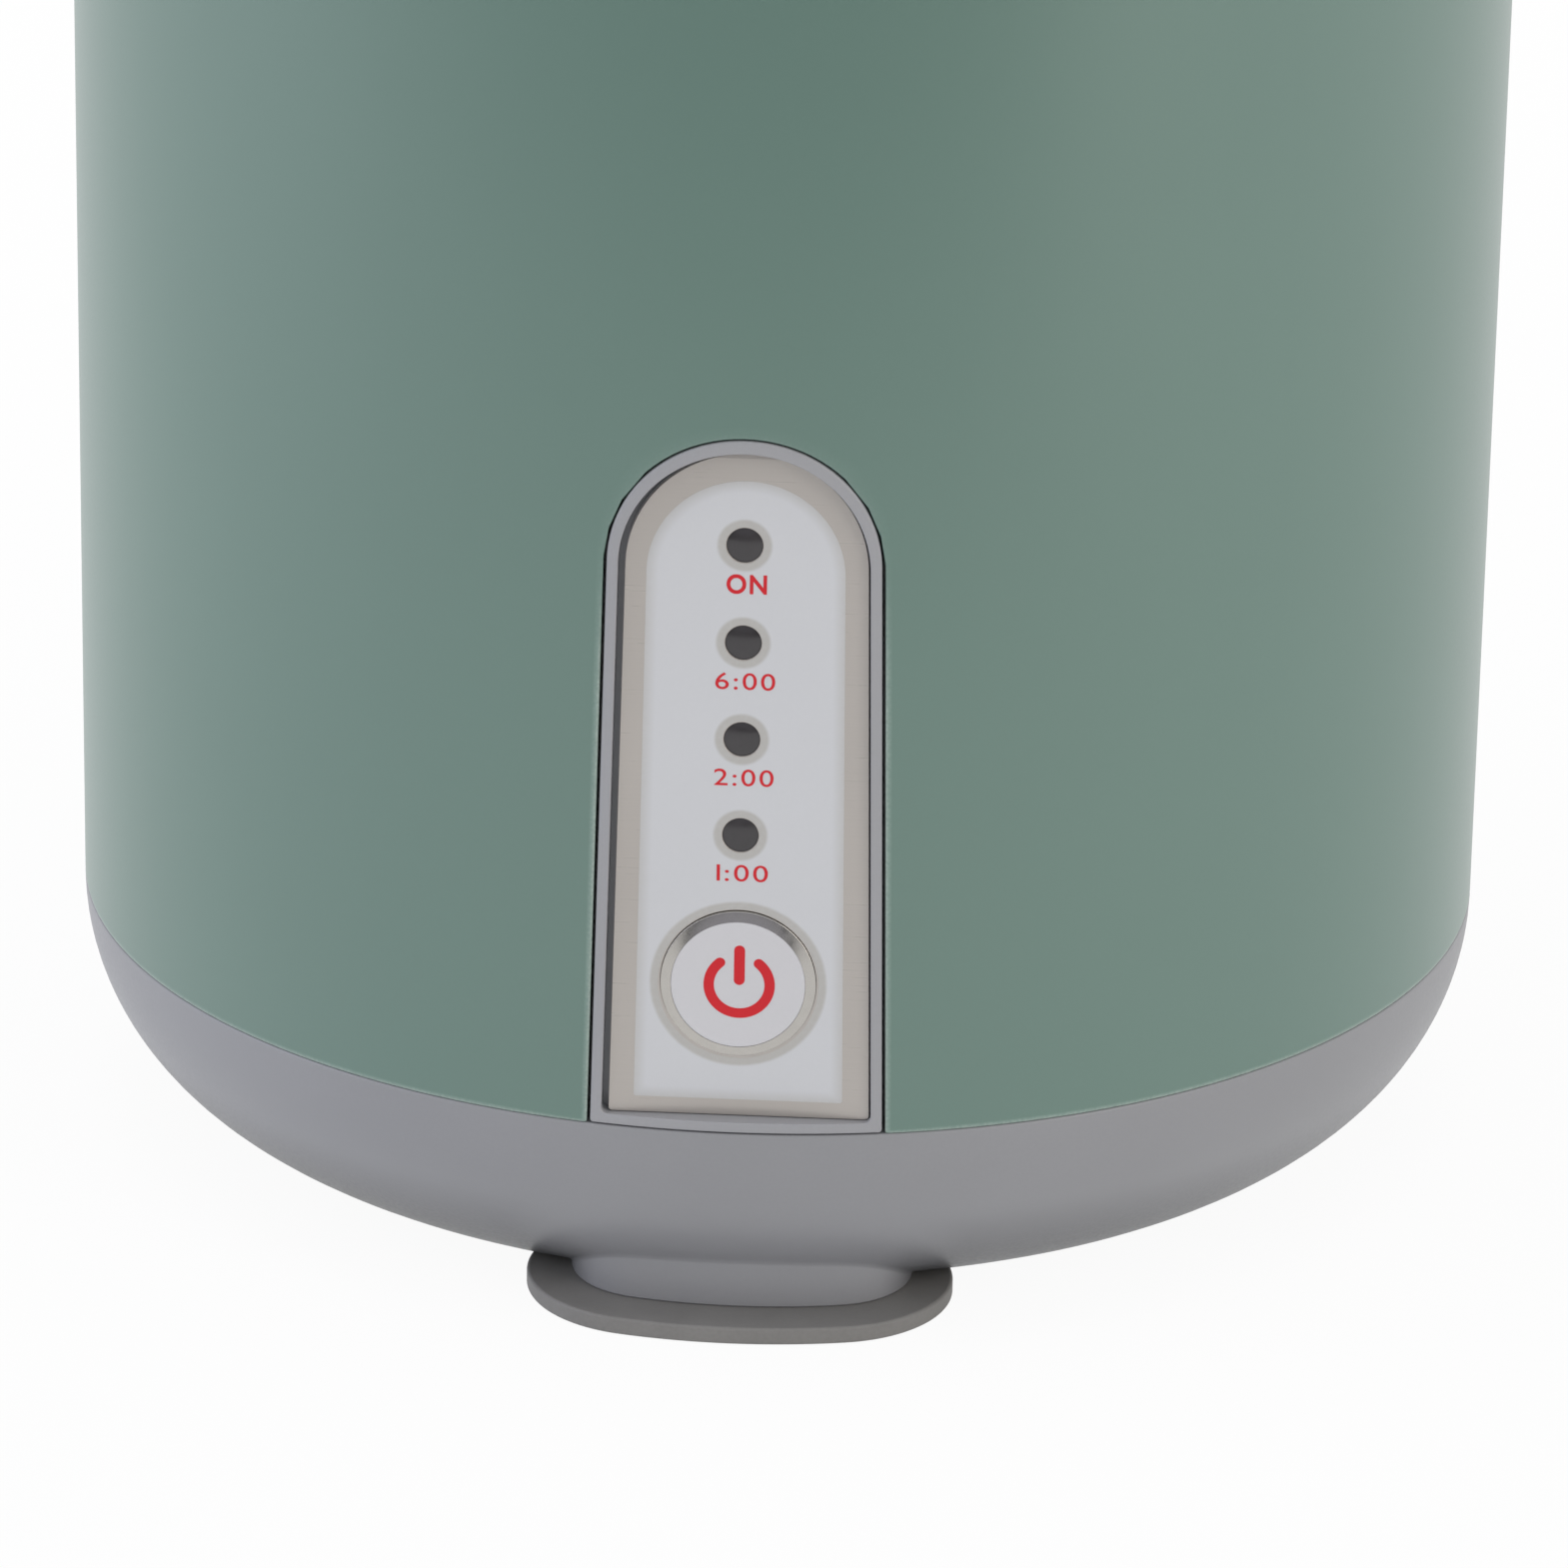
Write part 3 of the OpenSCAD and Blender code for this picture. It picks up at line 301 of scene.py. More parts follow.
def lattice(rows, cols, wrap_rows=False, wrap_cols=False, first=0):
    """Faces of a grid of points that is stored row by row from a first index."""
    return quads(np.arange(rows * cols).reshape(rows, cols) + first, wrap_rows, wrap_cols)


def resample(line, count):
    """Points evenly spaced along a line of points, by its length."""
    along = np.concatenate([[0], np.cumsum(np.linalg.norm(np.diff(line, axis=0), axis=1))])
    at = np.linspace(0, along[-1], count)
    return np.column_stack([np.interp(at, along, line[:, k]) for k in range(line.shape[1])])


def between(inner, outer, shares):
    """Rows between two lines of points: the inner line plus a share of the way to the outer."""
    return inner + (outer - inner) * np.asarray(shares)[:, None, None]


def weld(points, faces):
    """The points that are left when equal ones are joined, as indices, and the faces on them."""
    keys = np.round(points / WELD).astype(np.int64)
    first, inverse = np.unique(keys, axis=0, return_index=True, return_inverse=True)[1:]
    return first, inverse.reshape(-1)[faces]


def thicken(outer, inner, faces):
    """A closed wall from two skins with the same faces: the inner skin is turned over, and a
    strip joins each edge that only one face has to the same edge of the other skin."""
    edges = np.sort(np.concatenate([faces[:, [k, (k + 1) % 4]] for k in range(4)]), axis=1)
    edges, uses = np.unique(edges, axis=0, return_counts=True)
    free = edges[uses == 1]
    strip = np.hstack([free, free[:, ::-1] + len(outer)])
    return np.vstack([outer, inner]), np.vstack([faces, faces[:, ::-1] + len(outer), strip])


# %% [markdown]
# ## From arrays to a piece
# One function puts the arrays into a mesh, joins doubles, turns the faces outward and shades them
# smooth, except across creases. It also puts the piece on the body that carries it and hides the
# solids it stands for. Weighted normals keep flat faces flat beside their rounded edges.

# %% From arrays to a piece


def make_piece(name, points, faces, material, slot, replaces=(), body="housing", crease=40,
               wear_and_shade=None):
    """A mesh piece at the origin, from points in millimetres and faces of any size. The last
    argument is one number a point for the finish's second colour, from zero where the surface is
    whole to one where it is most rubbed; on the base it is painted shade, one where that shade is
    darkest."""
    ends = np.cumsum([len(face) for face in faces])
    used, corners_used = np.unique(np.concatenate(list(faces)), return_inverse=True)
    faces = np.split(corners_used, ends[:-1])
    mesh = bpy.data.meshes.new(name)
    mesh.from_pydata((points[used] * MM).tolist(), [], [face.tolist() for face in faces])
    if wear_and_shade is not None:
        values = mesh.attributes.new("wear_and_shade", "FLOAT", "POINT").data
        values.foreach_set("value", wear_and_shade[used].astype(np.float32))
    solid = bmesh.new()
    solid.from_mesh(mesh)
    bmesh.ops.remove_doubles(solid, verts=solid.verts, dist=WELD * MM)
    bmesh.ops.dissolve_degenerate(solid, edges=solid.edges, dist=WELD * MM)
    bmesh.ops.recalc_face_normals(solid, faces=solid.faces)
    open_edges = sum(not e.is_manifold for e in solid.edges)
    solid.to_mesh(mesh)
    solid.free()
    mesh.shade_smooth()
    mesh.set_sharp_from_angle(angle=math.radians(crease))
    mesh.materials.append(material)
    piece = put(name, mesh)
    piece.modifiers.new("flat faces", "WEIGHTED_NORMAL").keep_sharp = True
    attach(piece, body)
    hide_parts(*replaces)
    print(f"{name}: {len(mesh.polygons)} faces, {open_edges} open edges")
    return piece


TURNS = 192
STEP = 360 / TURNS
LEFT = -90
angles = LEFT + np.arange(TURNS) * STEP


def column(angle):
    """The column of the round grids that lies at an angle from the front."""
    return round((angle - LEFT) / STEP)


def around(angle, r, z):
    """Points at an angle from the front, positive to the right: x is r times the sine, and y is
    minus r times the cosine."""
    a = np.radians(angle)
    return np.stack(np.broadcast_arrays(r * np.sin(a), -r * np.cos(a), z), -1)


def revolve(profile):
    """A profile of radius and height carried round the body's axis, as points and faces."""
    points = around(angles[None, :], profile[:, :1], profile[:, 1:])
    return points.reshape(-1, 3), lattice(len(profile), TURNS, wrap_cols=True)


def turn_about_y(profile, z, count):
    """A profile of radius and depth carried round an axis along Y at height z."""
    a = np.linspace(0, 2 * np.pi, count, endpoint=False)[None, :]
    r, y = profile[:, :1], profile[:, 1:]
    points = np.stack(np.broadcast_arrays(r * np.cos(a), y, z + r * np.sin(a)), -1)
    return points.reshape(-1, 3), lattice(len(profile), count, wrap_cols=True)


# %% [markdown]
# ## The outline of the panel
# The panel is an arch: a straight bottom, two sides that lean in by about a degree and a half
# circle on top. The slot in the tube, the frame in it, the steel plate and the white print all
# follow it, each drawn in by its own amount.

# %% The outline of the panel
PANEL_R = 10.9
PANEL_LEAN = 1.1
BEZEL_FACE = 0.9
PLATE_GAP = 0.35
PLATE_SHIFT = 0.2
PANEL_GAP = 0.25
SEAM_GAP = 0.1
FLOOR_POINTS, BEND_POINTS, SIDE_POINTS, TOP_POINTS = 10, 7, 40, 33
spring_z = plate_high[2] - (PANEL_R - BEZEL_FACE - PLATE_GAP)
panel_bottom = seam_z + SEAM_GAP


def half_width(inset, z):
    """Half the panel's width at height z, drawn in by inset."""
    return PANEL_R - inset + (spring_z - z) * np.tan(np.radians(PANEL_LEAN))


def arch(r, spring, lean, bottom, corner, shift=0.0):
    """An arch as a loop of x and z: a half circle of radius r on a spring line, sides that lean
    out downwards by an angle in degrees, and rounded corners at a flat bottom. It runs from the
    middle of the bottom to the right, up and round."""
    foot = r + (spring - bottom - corner) * np.tan(np.radians(lean))
    floor_x = np.linspace(0, foot - corner, FLOOR_POINTS)
    floor = np.column_stack([floor_x, np.full(FLOOR_POINTS, bottom)])
    bend = arc(foot - corner, bottom + corner, corner, -90, 0, BEND_POINTS)
    side = np.column_stack([np.linspace(foot, r, SIDE_POINTS),
                            np.linspace(bottom + corner, spring, SIDE_POINTS)])
    top = arc(0, spring, r, 0, 90, TOP_POINTS)
    right_half = np.vstack([floor[:-1], bend[:-1], side[:-1], top])
    left_half = right_half[-2:0:-1] * [-1, 1]
    return np.vstack([right_half, left_half]) + [shift, 0]


def panel_outline(inset, bottom, corner, shift=0.0, drop=0.0):
    """The panel's arch drawn in by inset, down to a bottom height, with its top lower by drop."""
    return arch(PANEL_R - inset, spring_z - drop, PANEL_LEAN, bottom, corner, shift)


print(f"panel: from {panel_bottom:.1f} mm up, sides meet the arch at {spring_z:.1f} mm")

# %% [markdown]
# ## The green tube
# The tube is one skin on a cylinder with an arched slot at the front, open at the bottom, and a
# round hole at the back. A grid of angle and height covers it, with a window left out round
# each opening. A patch fills the window: its rows run from the opening's edge to the window's
# edge, so the opening is smooth at any size of grid. The openings are cut straight back, along
# Y, so the inner skin takes the same x and z.

# %% The green tube
SHELL_WALL = 2.4
SLOT_COLUMNS = 10
SLOT_ROWS = 24
WINDOW_TOP = 95
UPPER_ROWS = 9
BACK = 180
HOLE_COLUMNS = 5
HOLE_ROWS = (2, 8)
EDGE_ROUND = 0.22
EDGE_STEPS = 3
EDGE_ANGLE = 40
RIM_BAND = 0.45
ARCH_DROP = 0.12
RIM_WEAR = 0.8
ARCH_WEAR = 0.1
inlet_z = np.mean(corners("inlet_socket"), axis=0)[2]
HOLE_R = 4.15
levels = np.concatenate([[seam_z], np.linspace(seam_z + RIM_BAND, WINDOW_TOP, SLOT_ROWS),
                         np.linspace(WINDOW_TOP, shell_top, UPPER_ROWS)[1:]])
near_edge = np.concatenate([[0, 0.03, 0.07, 0.16], np.linspace(0.3, 1, 6)])
edge_wears = np.array([1.0, 0.35])
slot_at = len(levels) * TURNS


def near(col, angle, columns):
    """Whether the middles of faces, half a column on, lie within some columns of an angle."""
    return abs(col + 0.5 - column(angle)) < columns


def window_loop(middle, columns, rise):
    """A window's edge in a round grid, once round, as angle and rise: along its first row, up,
    back and down. Columns is half its width."""
    reach = columns * STEP
    across = np.linspace(middle - reach, middle + reach, 2 * columns + 1)
    sides = ((across, rise[0]), (across[-1], rise), (across[::-1], rise[-1]),
             (across[0], rise[::-1]))
    return np.vstack([np.column_stack(np.broadcast_arrays(*side))[:-1] for side in sides])


def slot_edge():
    """The slot's edge from bottom left over the arch to bottom right, as x and z, with as many
    points on each stretch as the window's side and top have. The sides take the window's
    heights, drawn together to end on the arch at 45 degrees."""
    r = PANEL_R + PANEL_GAP
    centre = spring_z - ARCH_DROP
    top = arc(0, centre, r, 135, 45, 2 * SLOT_COLUMNS + 1)
    z = np.interp(levels[: SLOT_ROWS + 1], [seam_z, WINDOW_TOP], [seam_z, top[0, 1]])
    round_x = np.sqrt(np.maximum(r**2 - (z - centre) ** 2, 0))
    x = np.where(z < centre, half_width(-PANEL_GAP, z), round_x)
    side = np.column_stack([-x, z])
    return np.vstack([side, top[1:-1], side[::-1] * [-1, 1]])


def slot_window():
    """The window round the slot, as angle and height: up its left side, along its top, down its
    right side."""
    reach = SLOT_COLUMNS * STEP
    rise = levels[: SLOT_ROWS + 1]
    across = np.linspace(-reach, reach, 2 * SLOT_COLUMNS + 1)[1:-1]
    up_side = np.column_stack([np.full(len(rise), -reach), rise])
    top = np.column_stack([across, np.full(len(across), WINDOW_TOP)])
    return np.vstack([up_side, top, up_side[::-1] * [-1, 1]])


hole_window = window_loop(BACK, HOLE_COLUMNS, levels[HOLE_ROWS[0] : HOLE_ROWS[1] + 1])


def tube_skin(r):
    """Points of the tube at radius r: the grid, then the slot's patch, then the hole's patch."""
    grid = around(angles[None, :], r, levels[:, None]).reshape(-1, 3)
    edge = slot_edge()
    edge = np.column_stack([np.degrees(np.arcsin(edge[:, 0] / r)), edge[:, 1]])
    slot = between(edge, slot_window(), near_edge)
    towards = np.arctan2(hole_window[:, 1] - inlet_z, (hole_window[:, 0] - BACK) * np.pi / 180 * r)
    edge = np.column_stack([BACK + np.degrees(np.arcsin(HOLE_R * np.cos(towards) / r)),
                            inlet_z + HOLE_R * np.sin(towards)])
    hole = between(edge, hole_window, near_edge)
    patches = np.vstack([slot.reshape(-1, 2), hole.reshape(-1, 2)])
    return np.vstack([grid, around(patches[:, 0], r, patches[:, 1])])


def tube_faces():
    """Faces of the grid outside both windows, then of the two patches."""
    row, col = np.divmod(np.arange((len(levels) - 1) * TURNS), TURNS)
    in_slot = (row < SLOT_ROWS) & near(col, 0, SLOT_COLUMNS)
    in_hole = (row >= HOLE_ROWS[0]) & (row < HOLE_ROWS[1]) & near(col, BACK, HOLE_COLUMNS)
    grid = lattice(len(levels), TURNS, wrap_cols=True)[~(in_slot | in_hole)]
    rows = len(near_edge)
    slot_n = len(slot_window())
    slot = lattice(rows, slot_n, first=slot_at)
    hole_at = slot_at + rows * slot_n
    hole = lattice(rows, len(hole_window), wrap_cols=True, first=hole_at)
    return np.vstack([grid, slot, hole])


def tube_wear(skin):
    """Wear of the tube's outer skin: it is full on the slot's edge, fades within half a millimetre
    and towards the arch, is a little less on the lower rim, and nothing elsewhere."""
    wear_and_shade = np.where(np.isclose(skin[:, 2], seam_z), RIM_WEAR, 0)
    slot_n = len(slot_window())
    edge = slice(slot_at, slot_at + len(edge_wears) * slot_n)
    height = np.interp(skin[edge, 2], [spring_z - PANEL_R, spring_z], [1, ARCH_WEAR])
    wear_and_shade[edge] = np.repeat(edge_wears, slot_n) * height
    return wear_and_shade


outer_skin = tube_skin(body_r)
kept, skin_faces = weld(outer_skin, tube_faces())
inner_skin = tube_skin(body_r - SHELL_WALL)
tube_points, tube_wall = thicken(outer_skin[kept], inner_skin[kept], skin_faces)
edge_wear = np.concatenate([tube_wear(outer_skin)[kept], np.zeros(len(kept))])
green_tube = make_piece("green_tube", tube_points, tube_wall, green_lacquer, "green_abs",
                        ["outer_shell"], wear_and_shade=edge_wear)
rounding = green_tube.modifiers.new("edge round", "BEVEL")
rounding.width = EDGE_ROUND * MM
rounding.segments = EDGE_STEPS
rounding.limit_method = "ANGLE"
rounding.angle_limit = math.radians(EDGE_ANGLE)
rounding.use_clamp_overlap = False
green_tube.modifiers.move(1, 0)

# %% [markdown]
# ## The grey base
# The base is a bowl with a flat underside and a quarter round side. Three oval pedestals stand
# out of it, with soft creases. The bowl is one profile carried round the axis, with a window
# left out round each pedestal. The patch in the window starts at the pedestal's foot, climbs
# its wall, turns out over the crease and runs to the window's edge on the bowl's surface.

# %% The base's sizes
BOWL_CUT = 1.4
UNDER_RECESS = 0.4
BASE_WALL = 2.5
LIP_T = 2.0
LIP_H = 4.0
LIP_GAP = 0.15
LIP_CHAMFER = 0.3
SEAM_ROUND = 0.18
LIP_BREAK = 15.4
LIP_STUB = 0.03
CREASE_ROUND = 0.35
CREASE_SHARE = 0.45
CREASE_ROWS = 7
OUT_ROWS = 7
FOOT_GROOVE = 0.17
FOOT_RIM = 3.4
FOOT_SIDE_R = 42
PEDESTAL_IN = 0.5
FEET = {"front": 0, "right": 120, "left": 240}
pad_low, pad_high = corners("foot_front")
foot_a, foot_b = (pad_high - pad_low)[:2] / 2
foot_r = -(pad_high[1] + pad_low[1]) / 2
foot_end_r = (2 * FOOT_SIDE_R * foot_b - foot_a**2 - foot_b**2) / (2 * (FOOT_SIDE_R - foot_a))
bowl_r = seam_z - base_z + BOWL_CUT
bowl_c = body_r - bowl_r
under_z = base_z + UNDER_RECESS
FOOT_COLUMNS = 12
SHADE_DIPS = (25, 54)
SHADE_TURNS = (13, 19)
SHADE_REACH = 0.1
WINDOW_IN = 34
WINDOW_TURN = 60.5
WINDOW_ROWS = 11
SIDE_END = 89
SIDE_ROWS = 10
INNER_ROWS = 10
SEAM_ROWS = 5


def bowl_z(r):
    """Height of the bowl's outside at radius r: a flat underside, then a quarter round."""
    side = seam_z - np.sqrt(np.maximum(bowl_r**2 - np.maximum(r - bowl_c, 0) ** 2, 0))
    return np.maximum(side, under_z)


def oval(a, b, end_r, count=720):
    """An oval of four arcs as points and outward ways: two ends of radius end_r, and two long
    sides that meet them smoothly."""
    side_r = ((a - end_r) ** 2 + b**2 - end_r**2) / (2 * (b - end_r))
    meet = np.degrees(np.arctan2(side_r - b, a - end_r))
    end = arc(a - end_r, 0, end_r, -meet, meet, count // 4)
    side = arc(0, b - side_r, side_r, meet, 180 - meet, count // 4)
    half = np.vstack([end, side[1:]])
    points = np.vstack([half, -half[1:]])[:-1]
    ways = np.roll(points, -1, 0) - np.roll(points, 1, 0)
    ways = np.column_stack([ways[:, 1], -ways[:, 0]])
    return points, ways / np.linalg.norm(ways, axis=1, keepdims=True)


# %% The bowl's profile and its pedestals


def bowl_arc(r, turns):
    """Radius and height on a quarter round of radius r, at angles in degrees from straight down:
    r times the sine goes out from its centre, and r times the cosine down from the seam."""
    t = np.radians(turns)
    return np.column_stack([bowl_c + r * np.sin(t), seam_z - r * np.cos(t)])


flat_end = np.degrees(np.arccos((seam_z - under_z) / bowl_r))
flat_rows = np.array([0, 14, 26, WINDOW_IN, 37.7, 41.4, 45.1])
side_turns = np.concatenate([np.linspace(flat_end, WINDOW_TURN, WINDOW_ROWS),
                             np.linspace(WINDOW_TURN, SIDE_END, SIDE_ROWS)[1:]])
lip_r = body_r - SHELL_WALL - LIP_GAP
lip_in = lip_r - LIP_T
inner_r = bowl_r - BASE_WALL
floor_z = base_z + BASE_WALL
lip_turn = np.degrees(np.arcsin((lip_in - bowl_c) / inner_r))
floor_turn = np.degrees(np.arccos((seam_z - floor_z) / inner_r))
lip_z = seam_z + LIP_H
lip_rows = np.array([[lip_r, seam_z], [lip_r, lip_z - LIP_CHAMFER], [lip_r - LIP_CHAMFER, lip_z],
                     [lip_in + LIP_CHAMFER, lip_z], [lip_in, lip_z - LIP_CHAMFER],
                     [lip_in, seam_z]])
bowl_profile = np.vstack([
    np.column_stack([flat_rows, np.full(len(flat_rows), under_z)]),
    bowl_arc(bowl_r, side_turns),
    arc(body_r - SEAM_ROUND, seam_z - SEAM_ROUND, SEAM_ROUND, 0, 90, SEAM_ROWS),
    lip_rows,
    bowl_arc(inner_r, np.linspace(lip_turn, floor_turn, INNER_ROWS)),
    [[0, floor_z]],
])
in_row = list(flat_rows).index(WINDOW_IN)
out_row = len(flat_rows) + WINDOW_ROWS - 1
bowl_points, bowl_faces = revolve(bowl_profile)
bowl_points = bowl_points.reshape(len(bowl_profile), TURNS, 3)
in_break = abs(angles) < LIP_BREAK
heights = bowl_points[..., 2]
stub = seam_z + (heights - seam_z) * LIP_STUB
bowl_points[..., 2] = np.where((heights > seam_z) & in_break, stub, heights)


def pedestal():
    """Rows of the front pedestal's patch, from its foot up its wall, over the crease and out."""
    turns, radii = window_loop(0, FOOT_COLUMNS, bowl_profile[in_row : out_row + 1, 0]).T
    window = around(turns, radii, 0)[:, :2]
    centre = np.array([0, PEDESTAL_IN - foot_r])
    a, b = foot_a - FOOT_RIM, foot_b - FOOT_RIM
    points, ways = oval(a, b, foot_end_r - FOOT_RIM)
    turn = np.arctan2(points[:, 1] / b, points[:, 0] / a)
    aim = (window - centre) / [a, b]
    aim = np.arctan2(aim[:, 1], aim[:, 0])
    ring, way = [np.column_stack([np.interp(aim, turn, line, period=2 * np.pi) for line in pair.T])
                 for pair in (points, ways)]
    ring = ring + centre
    wall = bowl_z(np.linalg.norm(ring, axis=1)) - base_z
    crease = np.minimum(CREASE_ROUND, wall * CREASE_SHARE)[:, None]
    bend = np.radians(np.linspace(0, 90, CREASE_ROWS))[:, None, None]
    over = ring + way * crease * (1 - np.cos(bend))
    drop = (crease * (1 - np.sin(bend)))[..., 0]
    over_z = bowl_z(np.linalg.norm(over, axis=2)) - drop
    out = between(over[-1], window, np.linspace(0, 1, OUT_ROWS)[1:])
    out_z = bowl_z(np.linalg.norm(out, axis=2))
    foot = ring - way * FOOT_GROOVE
    flat = np.vstack([foot[None], ring[None], over, out])
    foot_z = np.repeat([[base_z], [base_z + FOOT_GROOVE]], len(ring), axis=1)
    return np.dstack([flat, np.vstack([foot_z, over_z, out_z])])


def turned(points, turn):
    """Points turned about the body's axis by an angle in degrees."""
    c, s = np.cos(np.radians(turn)), np.sin(np.radians(turn))
    return points @ np.array([[c, s, 0], [-s, c, 0], [0, 0, 1]])


def under_shade(points):
    """How far painted shade darkens the bowl's colour towards its underside, as it does in the
    picture: not at all where the surface dips less than the first angle below the level, fully at
    the second, and not over the pedestals."""
    radius = np.hypot(points[:, 0], points[:, 1])
    dip = np.degrees(np.arctan2(seam_z - points[:, 2], np.maximum(radius - bowl_c, SHADE_REACH)))
    turn = np.degrees(np.arctan2(points[:, 0], -points[:, 1]))
    beside = np.min([abs((turn - foot + 180) % 360 - 180) for foot in FEET.values()], axis=0)
    return np.interp(dip, SHADE_DIPS, [0, 1]) * np.interp(beside, SHADE_TURNS, [0, 1])


row, col = np.divmod(np.arange((len(bowl_profile) - 1) * TURNS), TURNS)
in_window = (row >= in_row) & (row < out_row)
near_foot = np.any([near(col, turn, FOOT_COLUMNS) for turn in FEET.values()], axis=0)
base_points = [bowl_points.reshape(-1, 3)]
base_faces = [*bowl_faces[~(in_window & near_foot)]]
patch_rows = pedestal()
for turn in FEET.values():
    first = sum(map(len, base_points))
    base_points.append(turned(patch_rows.reshape(-1, 3), turn))
    base_faces.extend(lattice(*patch_rows.shape[:2], wrap_cols=True, first=first))
    base_faces.append(np.arange(first, first + patch_rows.shape[1]))
base_points = np.vstack(base_points)
# The base's colour darkens towards its underside with painted shade.
make_piece("grey_base", base_points, base_faces, grey_abs, "grey_abs", ["base_housing"],
           wear_and_shade=under_shade(base_points))

# %% [markdown]
# ## The rubber feet
# A foot is a flat oval pad with slightly rounded edges. Its rows are the same oval drawn in by
# different amounts, from the middle of the underside round the edge to the middle of the top.

# %% The rubber feet
PAD_ROUND = 0.28
PAD_CORE = 4.0
PAD_GROW = 0.15
PAD_SHIFT = -0.15
pad_profile = np.vstack([
    [[-PAD_CORE, 0]],
    arc(-PAD_ROUND, PAD_ROUND, PAD_ROUND, -90, 0, 5),
    arc(-PAD_ROUND, base_z - PAD_ROUND, PAD_ROUND, 0, 90, 5),
    [[-PAD_CORE, base_z]],
])
PAD_POINTS = 160


def pad_ring(inset, z):
    """The pad's oval grown by inset at height z, with evenly spaced points."""
    loop = oval(*np.array([foot_a, foot_b, foot_end_r]) + inset + PAD_GROW)[0]
    loop = resample(np.vstack([loop, loop[:1]]), PAD_POINTS + 1)[:-1]
    return np.column_stack([loop[:, 0] + PAD_SHIFT, loop[:, 1] - foot_r, np.full(PAD_POINTS, z)])


pad_rings = np.stack([pad_ring(inset, z) for inset, z in pad_profile])
pad_faces = [*lattice(len(pad_rings), PAD_POINTS, wrap_cols=True)]
pad_faces.append(np.arange(PAD_POINTS))
pad_faces.append(np.arange(PAD_POINTS) + (len(pad_rings) - 1) * PAD_POINTS)
for side, turn in FEET.items():
    pad_points = turned(pad_rings.reshape(-1, 3), turn)
    make_piece(f"{side}_pad", pad_points, pad_faces, pad_rubber, "foot_rubber", [f"foot_{side}"])

# %% [markdown]
# ## The panel's frame
# The frame is one profile carried round the panel's outline. It starts at a flange behind the
# tube, comes out through the slot, turns over a narrow face that is flush with the tube, and
# drops into a narrow groove round the ledge that carries the plate. Each ring of it is the
# outline drawn in by some amount, laid on a cylinder or at a depth.

# %% The panel's frame
FRAME_CORNER = 0.25
POCKET_CORNER = 0.5
FRAME_ROUND = 0.2
POCKET_ROUND = 0.12
INNER_DROP = 0.2
FLANGE = 2.5
LEDGE = 4.5
FRAME_BACK = 55.7
POCKET_DEPTH = 0.75
POCKET_W = 0.5
LEDGE_T = 1
ROUND_ROWS = 6
behind_frame = plate_back + LEDGE_T


def frame_ring(inset, r=None, y=None):
    """One ring of the frame: the panel's outline drawn in by inset, with its top a little lower
    on the inside, and y either given or on a cylinder of radius r, where y is minus the root of
    r squared less x squared."""
    share = np.clip(inset / BEZEL_FACE, 0, 1)
    corner = FRAME_CORNER + (POCKET_CORNER - FRAME_CORNER) * share
    x, z = panel_outline(inset, panel_bottom + max(inset, 0), corner, drop=INNER_DROP * share).T
    depth = np.full_like(x, y) if r is None else -np.sqrt(r**2 - x**2)
    return np.column_stack([x, depth, z])


outer_edge = arc(FRAME_ROUND, body_r - FRAME_ROUND, FRAME_ROUND, 180, 90, ROUND_ROWS)
inner_edge = arc(BEZEL_FACE - POCKET_ROUND, body_r - POCKET_ROUND, POCKET_ROUND, 90, 0, ROUND_ROWS)
pocket_y = plate_back + POCKET_DEPTH
pocket_in = BEZEL_FACE + POCKET_W
steps_in = [(BEZEL_FACE, pocket_y), (pocket_in, pocket_y), (pocket_in, plate_back),
            (LEDGE, plate_back), (LEDGE, behind_frame)]
frame_rings = [frame_ring(-FLANGE, lip_r), frame_ring(0, lip_r)]
frame_rings += [frame_ring(inset, r) for inset, r in np.vstack([outer_edge, inner_edge])]
frame_rings += [frame_ring(inset, y=y) for inset, y in steps_in]
frame_rings = np.stack([*frame_rings, frame_ring(-FLANGE, FRAME_BACK)])
frame_faces = lattice(*frame_rings.shape[:2], wrap_rows=True, wrap_cols=True)
make_piece("panel_frame", frame_rings.reshape(-1, 3), frame_faces, frame_abs, "grey_abs",
           ["panel_bezel"])

# %% [markdown]
# ## Flat pieces with holes
# The steel plate, the ink on it and the signs are flat outlines with some depth. A flat piece
# is a stack of levels: each level is a set of loops at one depth, walls join the levels, and
# the first and last level are filled with triangles, leaving the holes open.

# %% Flat pieces with holes


def circle(z, r, count):
    """A closed loop of points on a circle about the panel's middle line."""
    return arc(0, z, r, 0, 360, count + 1)[:-1]


def stack(levels):
    """Points and faces of a flat piece from levels of loops of x and z, each with its depth y."""
    loops = levels[0][0]
    sizes = [len(loop) for loop in loops]
    points = np.vstack([np.insert(np.vstack(at), 1, y, axis=1) for at, y in levels])
    index = np.arange(len(points)).reshape(len(levels), -1)
    faces = []
    for part in np.split(index, np.cumsum(sizes)[:-1], axis=1):
        faces.extend(quads(part, wrap_cols=True))
    for level in (0, -1):
        flat = [np.insert(loop, 2, 0, axis=1).tolist() for loop in levels[level][0]]
        faces.extend(index[level][np.array(tessellate_polygon(flat))])
    return points, faces


# %% [markdown]
# ## The steel plate and its print
# The plate is half a millimetre thick, with a trace of a round on each cut edge that catches
# the light. The white ink covers it but for a border. Round each opening only its grey primer
# shows.

